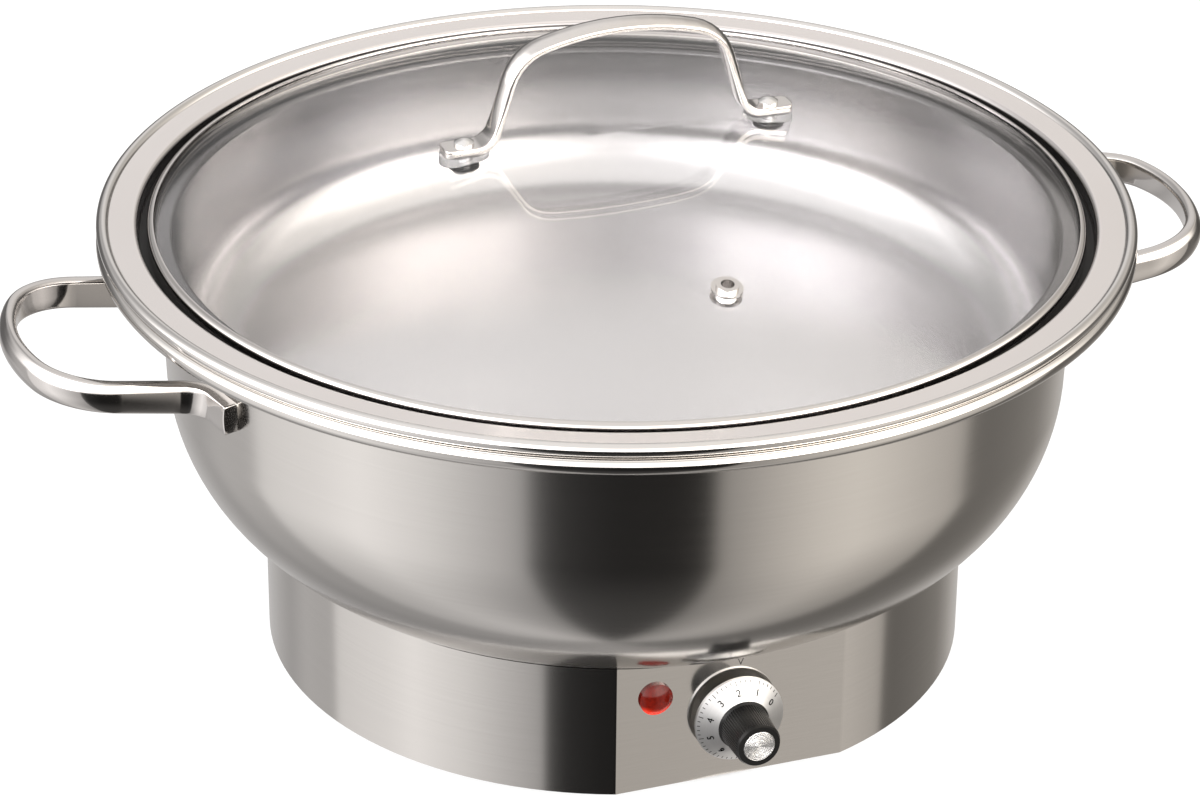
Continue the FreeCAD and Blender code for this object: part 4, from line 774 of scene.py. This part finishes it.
def grow(name, maker, seed_mesh, **inputs):
    """The plain mesh that a tree makes of a seed; names with _ stand for names with a space"""
    seed = bpy.data.objects.new(name, seed_mesh)
    bpy.context.scene.collection.objects.link(seed)
    modifier = seed.modifiers.new("maker", "NODES")
    modifier.node_group = maker
    sizes = {label.replace("_", " "): value for label, value in inputs.items()}
    for item in maker.interface.items_tree:
        if item.in_out == "INPUT" and item.name in sizes:
            modifier[item.identifier] = sizes[item.name]
    graph = bpy.context.evaluated_depsgraph_get()
    made = bpy.data.meshes.new_from_object(seed.evaluated_get(graph))
    made.name = name
    bpy.data.objects.remove(seed)
    return made


def close_up(mesh, angle=35.0):
    """Doubles merged, faces outwards, and edges kept sharp where they turn by more than the angle"""
    work = bmesh.new()
    work.from_mesh(mesh)
    bmesh.ops.remove_doubles(work, verts=work.verts, dist=0.000002)
    bmesh.ops.recalc_face_normals(work, faces=work.faces)
    work.to_mesh(mesh)
    work.free()
    mesh.shade_smooth()
    mesh.set_sharp_from_angle(angle=math.radians(angle))


def place_piece(name, mesh, body, slot, *nodes):
    """A new piece on its body, hiding the nodes that it stands for; its slot is not used"""
    piece = bpy.data.objects.new(name, mesh)
    bpy.context.scene.collection.objects.link(piece)
    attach(piece, body)
    if nodes:
        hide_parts(*nodes)


def outline(corners, closed=True):
    """Points along runs and arcs; a corner's third number is the radius of the arc to the next corner,
    positive with its centre on the left of the way"""
    points = []
    for number, corner in enumerate(corners):
        start = Vector(corner[:2])
        end = Vector(corners[(number + 1) % len(corners)][:2])
        way = end - start
        points.append(start)
        if not closed and number == len(corners) - 1:
            break
        if len(corner) > 2:
            radius = corner[2]
            left = Vector((-way.y, way.x)).normalized()
            height = math.sqrt(max(radius ** 2 - way.length_squared / 4, 0.0))
            centre = (start + end) / 2 + left * math.copysign(height, radius)
            sweep = 2 * math.asin(min(way.length / 2 / abs(radius), 1.0))
            spacing = WIDE_ARC_STEP if abs(radius) > WIDE_ARC else ARC_STEP
            steps = max(5, round(math.degrees(sweep) / spacing))
            for step in range(1, steps):
                turn = Matrix.Rotation(math.copysign(sweep * step / steps, radius), 2)
                points.append(centre + turn @ (start - centre))
        elif way.length > LONG_RUN and start.x + end.x > AXIS_NEAR:
            points.append(start.lerp(end, RUN_INSET))
            points.append(start.lerp(end, 1 - RUN_INSET))
    return points


def turned_piece(name, maker, corners, finish, body, slot):
    """A turned sheet in place of the node of the same name; an outline on the axis stays open there"""
    points = outline(corners)
    count = len(points) if points[-1].x + points[0].x > AXIS_NEAR else len(points) - 1
    edges = [(number, (number + 1) % len(points)) for number in range(count)]
    spots = [((spot.x - SWEEP_RADIUS) * MM, -spot.y * MM, 0.0) for spot in points]
    seed = bpy.data.meshes.new(name)
    seed.from_pydata(spots, edges, [])
    sheet = grow(
        name, maker, seed, Path_radius=SWEEP_RADIUS * MM, Sides=TURNED_SIDES, Finish=finish,
    )
    close_up(sheet)
    place_piece(name + "_turned", sheet, body, slot, name)


def make_turned_pieces(finishes):
    """The water bowl, the food pan and the band of the lid, each round the Z axis"""
    maker = turning_maker()
    chord_low = math.sqrt(BEAD_RADIUS ** 2 - (BEAD_LEVEL - BOWL_FLANGE) ** 2)
    chord_high = math.sqrt(BEAD_RADIUS ** 2 - (BEAD_LEVEL - BOWL_FLANGE - SHEET) ** 2)
    turned_piece("water_bowl", maker, [
        (0, BOWL_FLOOR),
        (BOWL_FLAT, BOWL_FLOOR, BOWL_CORNER),
        (BOWL_RADIUS, BOWL_WALL_START),
        (BOWL_TOP_RADIUS, BOWL_FLANGE),
        (BEAD_CENTRE - chord_low, BOWL_FLANGE, BEAD_RADIUS),
        (BEAD_CENTRE + BEAD_RADIUS, BEAD_LEVEL, BEAD_RADIUS),
        (BEAD_CENTRE, BEAD_LEVEL + BEAD_RADIUS, BEAD_RADIUS),
        (BEAD_CENTRE - chord_high, BOWL_FLANGE + SHEET),
        (BOWL_TOP_RADIUS - SHEET, BOWL_FLANGE + SHEET),
        (BOWL_RADIUS - SHEET, BOWL_WALL_START, SHEET - BOWL_CORNER),
        (BOWL_FLAT, BOWL_FLOOR + SHEET),
        (0, BOWL_FLOOR + SHEET),
    ], finishes["bowl_steel"], "base", "bowl_steel")
    bend = 2 * SHEET
    turned_piece("food_pan", maker, [
        (0, PAN_FLOOR - SHEET),
        (PAN_FLAT, PAN_FLOOR - SHEET, PAN_CORNER + SHEET),
        (PAN_FOOT + SHEET, PAN_FLOOR + PAN_CORNER),
        (PAN_MOUTH + SHEET, PAN_LEDGE - bend, -SHEET),
        (PAN_MOUTH + bend, PAN_LEDGE - SHEET),
        (PAN_STEP - SHEET, PAN_LEDGE - SHEET, bend),
        (PAN_STEP + SHEET, PAN_LEDGE + SHEET),
        (PAN_STEP + SHEET, PAN_STEP_TOP - bend, -SHEET),
        (PAN_STEP + bend, PAN_STEP_TOP - SHEET),
        (CURL_CENTRE - CURL_RADIUS, RIM_TOP - CURL_RADIUS, CURL_RADIUS),
        (CURL_CENTRE, RIM_TOP - 2 * CURL_RADIUS, CURL_RADIUS),
        (CURL_CENTRE + CURL_RADIUS, RIM_TOP - CURL_RADIUS, CURL_RADIUS),
        (CURL_CENTRE, RIM_TOP, CURL_RADIUS),
        (CURL_FOOT, FLANGE_EDGE),
        (PAN_STEP + bend, PAN_STEP_TOP, bend),
        (PAN_STEP, PAN_STEP_TOP - bend),
        (PAN_STEP, PAN_LEDGE + SHEET, -SHEET),
        (PAN_STEP - SHEET, PAN_LEDGE),
        (PAN_MOUTH + bend, PAN_LEDGE, bend),
        (PAN_MOUTH, PAN_LEDGE - bend),
        (PAN_FOOT, PAN_FLOOR + PAN_CORNER, -PAN_CORNER),
        (PAN_FLAT, PAN_FLOOR),
        (0, PAN_FLOOR),
    ], finishes["pan_steel"], "pan", "pan_steel")
    turned_piece("lid_band", maker, [
        (BAND_SEAT, BAND_BOTTOM),
        (BAND_RADIUS, BAND_BOTTOM),
        (BAND_RADIUS, BAND_TOP - BAND_ROUND, BAND_ROUND),
        (BAND_RADIUS - BAND_ROUND, BAND_TOP),
        (BAND_LIP, BAND_TOP),
        (BAND_LIP, BAND_TOP - BAND_WALL),
        (BAND_RADIUS - BAND_ROUND, BAND_TOP - BAND_WALL, BAND_WALL - BAND_ROUND),
        (BAND_RADIUS - BAND_WALL, BAND_TOP - BAND_ROUND),
        (BAND_RADIUS - BAND_WALL, BAND_BOTTOM + BAND_WALL),
        (BAND_SEAT, BAND_BOTTOM + BAND_WALL),
    ], finishes["band_steel"], "lid", "band_steel")


def bar_section(thickness, breadth, crown, inner, outer):
    """A bar's section: flat inside and crowned outside, with the radii of its inner and outer corners"""
    half = breadth / 2
    inside = -thickness / 2
    radius = (half ** 2 + crown ** 2) / (2 * crown)
    middle = thickness / 2 - radius
    edge = middle + math.sqrt((radius - outer) ** 2 - (half - outer) ** 2)
    lean = math.atan2(half - outer, edge - middle)
    arcs = (
        (middle, 0.0, radius, -lean, lean, 10),
        (edge, half - outer, outer, lean, math.pi / 2, 5),
        (inside + inner, half - inner, inner, math.pi / 2, math.pi, 6),
        (inside + inner, inner - half, inner, math.pi, 1.5 * math.pi, 6),
        (edge, outer - half, outer, -math.pi / 2, -lean, 5),
    )
    points = []
    for across, up, size, first, last, steps in arcs:
        for step in range(steps):
            turn = first + (last - first) * (step + 0.5) / steps
            points.append((across + size * math.cos(turn), up + size * math.sin(turn)))
    return points


def both_halves(corners, gap):
    """A centre line given from its middle to one end: its points, close together, from end to end,
    each with its way and how far it lies from the middle, 0 to 1"""
    points = outline(corners, closed=False)
    short = []
    for start, end in zip(points, points[1:]):
        parts = max(1, round((end - start).length / gap))
        short += [start.lerp(end, part / parts) for part in range(parts)]
    last = (points[-1] - points[-2]).normalized()
    short += [points[-1] - last * END_RUN, points[-1]]
    far = len(short) - 1
    path = [(Vector((-spot.x, spot.y)), number / far) for number, spot in enumerate(short)]
    path = path[:0:-1] + [(spot, number / far) for number, spot in enumerate(short)]
    stations = []
    for number, (spot, share) in enumerate(path):
        before = path[max(number - 1, 0)][0]
        after = path[min(number + 1, len(path) - 1)][0]
        stations.append((spot, (after - before).normalized(), share))
    return stations


def skin_mesh(name, rings):
    """Faces between rings of points in millimetres, closed at both ends"""
    work = bmesh.new()
    loops = [[work.verts.new(spot * MM) for spot in ring] for ring in rings]
    wide = len(loops[0])
    for loop, following in zip(loops, loops[1:]):
        for number in range(wide):
            after = (number + 1) % wide
            work.faces.new((loop[number], loop[after], following[after], following[number]))
    work.faces.new(loops[0])
    work.faces.new(loops[-1])
    mesh = bpy.data.meshes.new(name)
    work.to_mesh(mesh)
    work.free()
    return mesh


def between(start, end, share):
    return start + (end - start) * share


def handle_mesh(name):
    """A bent bar from tab to tab; its section stands square to the bow and upright at the tabs"""
    rings = []
    upright = Vector((0.0, 0.0, 1.0))
    square = Vector((-math.sin(BAR_TILT), 0.0, math.cos(BAR_TILT)))
    for spot, way, share in both_halves(BAR_PATH, BAR_GAP):
        along, across = spot.y, spot.x
        flat_out = Vector((way.x, -way.y, 0.0))
        rise_out = Vector((way.x * math.cos(BAR_TILT), -way.y, way.x * math.sin(BAR_TILT)))
        out = rise_out.lerp(flat_out, share).normalized()
        up = square.lerp(upright, share).normalized()
        place = Vector((
            along * math.cos(BAR_TILT) + BAR_SHIFT,
            across,
            along * math.sin(BAR_TILT) + BAR_LEVEL,
        ))
        section = bar_section(
            BAR_THICKNESS, BAR_BREADTH,
            between(GRIP_CROWN, TAB_CROWN, share),
            between(GRIP_INNER_ROUND, TAB_ROUND, share),
            between(GRIP_OUTER_ROUND, TAB_ROUND, share),
        )
        size = END_SIZE if share == 1 else 1.0
        rings.append([place + (out * u + up * v) * size for u, v in section])
    return skin_mesh(name, rings)


def strap_mesh(name):
    """An arched strap from toe to toe; its crown runs out to flat feet with rounded corners"""
    rings = []
    end = Vector(STRAP_PATH[-1])
    for spot, way, share in both_halves(STRAP_PATH, STRAP_GAP):
        out = Vector((-way.y, 0.0, way.x))
        foot = min(max((share - FOOT_START) / FOOT_RUN, 0.0), 1.0)
        foot = foot * foot * (3 - 2 * foot)
        thickness = STRAP_THICKNESS - FOOT_THINNER * foot
        section = bar_section(
            thickness, STRAP_WIDTH,
            between(STRAP_CROWN, FOOT_CROWN, foot),
            STRAP_INNER_ROUND,
            between(STRAP_OUTER_ROUND, FOOT_OUTER_ROUND, foot),
        )
        place = Vector((spot.x, 0.0, spot.y)) - out * (STRAP_THICKNESS - thickness) / 2
        left = TOE_ROUND - min(end.x - abs(spot.x), TOE_ROUND)
        half = STRAP_WIDTH / 2 - TOE_ROUND + math.sqrt(TOE_ROUND ** 2 - left ** 2)
        side = Vector((0.0, 2 * half / STRAP_WIDTH, 0.0))
        size = END_SIZE if share == 1 else 1.0
        rings.append([place + (out * u - side * v) * size for u, v in section])
    return skin_mesh(name, rings)


def make_handles(finishes):
    """The two side handles and the strap of the lid"""
    for name, turn in (("right_handle", BAR_TURN), ("left_handle", BAR_TURN + math.pi)):
        bar = handle_mesh(name)
        bar.transform(Matrix.Rotation(turn, 4, "Z"))
        bar.materials.append(finishes["handle_steel"])
        close_up(bar, BAR_SHARP)
        place_piece(name + "_bar", bar, "base", "handle_steel", name)
    strap = strap_mesh("lid_strap")
    strap.materials.append(finishes["strap_steel"])
    close_up(strap, BAR_SHARP)
    place_piece("lid_strap", strap, "lid", "strap_steel", "lid_handle")


def knob_place():
    """From the knob's own frame, with z along its axis, to its place on the panel"""
    place = Matrix.Translation(Vector((KNOB_X, PANEL_Y, KNOB_Z)) * MM)
    return place @ Matrix.Rotation(math.pi / 2, 4, "X")


def plate_mesh(name, points, thickness):
    """A thin plate with this outline, in millimetres, half its thickness above the XY plane"""
    work = bmesh.new()
    low = [work.verts.new((x * MM, y * MM, -thickness / 2 * MM)) for x, y in points]
    face = work.faces.new(low)
    raised = bmesh.ops.extrude_face_region(work, geom=[face])["geom"]
    lift = [item for item in raised if isinstance(item, bmesh.types.BMVert)]
    bmesh.ops.translate(work, verts=lift, vec=(0.0, 0.0, thickness * MM))
    bmesh.ops.recalc_face_normals(work, faces=work.faces)
    mesh = bpy.data.meshes.new(name)
    work.to_mesh(mesh)
    work.free()
    return mesh


def rib_mesh():
    """A half-round strip along z that stands out towards x, with rounded ends"""
    long = GRIP_END - GRIP_FOOT - RIB_SHORTER
    rows = (
        (0.0, 0.3), (0.25, 0.85), (0.6, 1.0), (long - 0.6, 1.0), (long - 0.25, 0.85), (long, 0.3),
    )
    rings = []
    for along, full in rows:
        ring = []
        for degrees in (-90, -54, -18, 18, 54, 90):
            turn = math.radians(degrees)
            out = RIB_HEIGHT * full * math.cos(turn) - RIB_SINK
            ring.append(Vector((out, RIB_HALF * math.sin(turn), along)))
        rings.append(ring)
    return skin_mesh("rib", rings)


def make_knob_pieces(maker, finishes):
    """The ribs of the grip, and the marks of the dial and the panel"""
    stand = knob_place()
    lean = math.atan2(GRIP_END_RADIUS - GRIP_RADIUS, GRIP_END - GRIP_FOOT)
    ribs = grow(
        "knob_ribs", maker, rib_mesh(), Count=RIB_COUNT, Every=1, Start=0.0,
        Step=2 * math.pi / RIB_COUNT, Radius=GRIP_RADIUS * MM, Rise=(GRIP_FOOT + RIB_START) * MM,
        Tilt=lean, Stretch=1.0, Finish=finishes["knob_plastic"],
    )
    ribs.transform(stand)
    close_up(ribs, 60.0)
    place_piece("knob_ribs", ribs, "knob", "knob_plastic")

    fall = math.atan2(DIAL_FRONT - DIAL_RIM, DIAL_RADIUS - DIAL_HUB)
    outer = DIAL_RADIUS - TICK_INSET
    level = DIAL_RIM + (DIAL_RADIUS - outer) * math.tan(fall)
    corners = (
        (-TICK_LENGTH, -TICK_HALF), (0.0, -TICK_HALF), (0.0, TICK_HALF), (-TICK_LENGTH, TICK_HALF),
    )
    ticks = grow(
        "dial_ticks", maker, plate_mesh("tick", corners, MARK_THICKNESS),
        Count=(FIGURE_COUNT - 1) * TICKS_PER_FIGURE + 1, Every=TICKS_PER_FIGURE,
        Start=math.radians(FIRST_FIGURE), Step=math.radians(FIGURE_STEP / TICKS_PER_FIGURE),
        Radius=outer * MM, Rise=level * MM, Tilt=fall, Stretch=LONG_TICK, Finish=finishes["ink"],
    )
    ticks.transform(stand)
    close_up(ticks)
    place_piece("dial_ticks", ticks, "knob", "knob_plastic")

    figures = figure_mesh(fall)
    figures.materials.append(finishes["ink"])
    figures.transform(stand)
    close_up(figures)
    place_piece("dial_figures", figures, "knob", "knob_plastic")

    pointer = pointer_mesh()
    pointer.materials.append(finishes["ink"])
    close_up(pointer)
    place_piece("panel_pointer", pointer, "base", "knob_plastic")


def make_screw_recesses(maker, finishes):
    """A black cross on the head of every screw below the base, painted shade in place of its cross
    recess
    """
    long, half = CROSS_LONG, CROSS_HALF
    arms = (
        (-long, -half), (-half, -half), (-half, -long), (half, -long), (half, -half), (long, -half),
    )
    cross = arms + tuple((-x, -y) for x, y in arms)
    # A thin black cross standing a little proud of the head: painted shade where the recess would be.
    recess = plate_mesh("recess", cross, MARK_THICKNESS)
    for node in ("foot_screws", "plate_screws"):
        low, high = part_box(node)
        centre = Vector((high.x + low.x, high.y + low.y)) / 2
        reach = (high.x - low.x) / 2 - SCREW_HEAD * MM
        marks = grow(
            node + "_recess_shades", maker, recess, Count=4, Every=1, Start=math.pi / 4, Step=math.pi / 2,
            Radius=reach * math.sqrt(2), Rise=low.z, Tilt=0.0, Stretch=1.0,
            Finish=finishes["black_plastic"],
        )
        marks.transform(Matrix.Translation((centre.x, centre.y, 0.0)))
        close_up(marks)
        place_piece(node + "_recess_shades", marks, "base", "black_plastic")


def figure_mesh(fall):
    """The numbers on the cone of the dial from 0 up, their tops outwards, in the knob's own frame"""
    work = bmesh.new()
    level = DIAL_FRONT - (FIGURE_RADIUS - DIAL_HUB) * math.tan(fall)
    for number in range(FIGURE_COUNT):
        text = bpy.data.curves.new("figure", "FONT")
        text.body = str(number)
        text.align_x = "CENTER"
        text.align_y = "CENTER"
        text.extrude = 0.03
        writing = bpy.data.objects.new("figure", text)
        bpy.context.scene.collection.objects.link(writing)
        graph = bpy.context.evaluated_depsgraph_get()
        mesh = bpy.data.meshes.new_from_object(writing.evaluated_get(graph))
        bpy.data.objects.remove(writing)
        spots = [vertex.co for vertex in mesh.vertices]
        top = max(spot.y for spot in spots)
        bottom = min(spot.y for spot in spots)
        middle = (max(spot.x for spot in spots) + min(spot.x for spot in spots)) / 2
        scale = FIGURE_HEIGHT * MM / (top - bottom)
        turn = math.radians(FIRST_FIGURE + number * FIGURE_STEP - 90)
        mesh.transform(
            Matrix.Rotation(turn, 4, "Z")
            @ Matrix.Translation(Vector((0, FIGURE_RADIUS, level + FIGURE_LIFT)) * MM)
            @ Matrix.Rotation(-fall, 4, "X")
            @ Matrix.Scale(scale, 4)
            @ Matrix.Translation((-middle, -(top + bottom) / 2, 0))
        )
        work.from_mesh(mesh)
    whole = bpy.data.meshes.new("dial_figures")
    work.to_mesh(whole)
    work.free()
    return whole


def pointer_mesh():
    """An outlined triangle on the panel above the dial, its tip down"""
    centre_x, tip, top, half, line = 3.7, 52.6, 56.2, 1.5, 0.3
    outer = ((centre_x - half, top), (centre_x + half, top), (centre_x, tip))
    middle = Vector((centre_x, top - (top - tip) / 3))
    inner = [middle + (Vector(spot) - middle) * (1 - 3 * line / (top - tip)) for spot in outer]
    work = bmesh.new()
    layers = []
    for depth in (0.02, -0.06):
        y = (PANEL_Y + depth) * MM
        layers.append([work.verts.new((spot[0] * MM, y, spot[1] * MM)) for spot in (*outer, *inner)])
    back, front = layers
    for number in range(3):
        after = (number + 1) % 3
        for layer in layers:
            work.faces.new((layer[number], layer[after], layer[after + 3], layer[number + 3]))
        for ring in (0, 3):
            first, second = number + ring, after + ring
            work.faces.new((back[first], back[second], front[second], front[first]))
    mesh = bpy.data.meshes.new("panel_pointer")
    work.to_mesh(mesh)
    work.free()
    return mesh


bpy.context.scene.view_settings.view_transform = "Standard"
make_world()
make_floor()
make_camera()
finishes = dress()
make_turned_pieces(finishes)
make_handles(finishes)
ring = ring_maker()
make_knob_pieces(ring, finishes)
make_screw_recesses(ring, finishes)
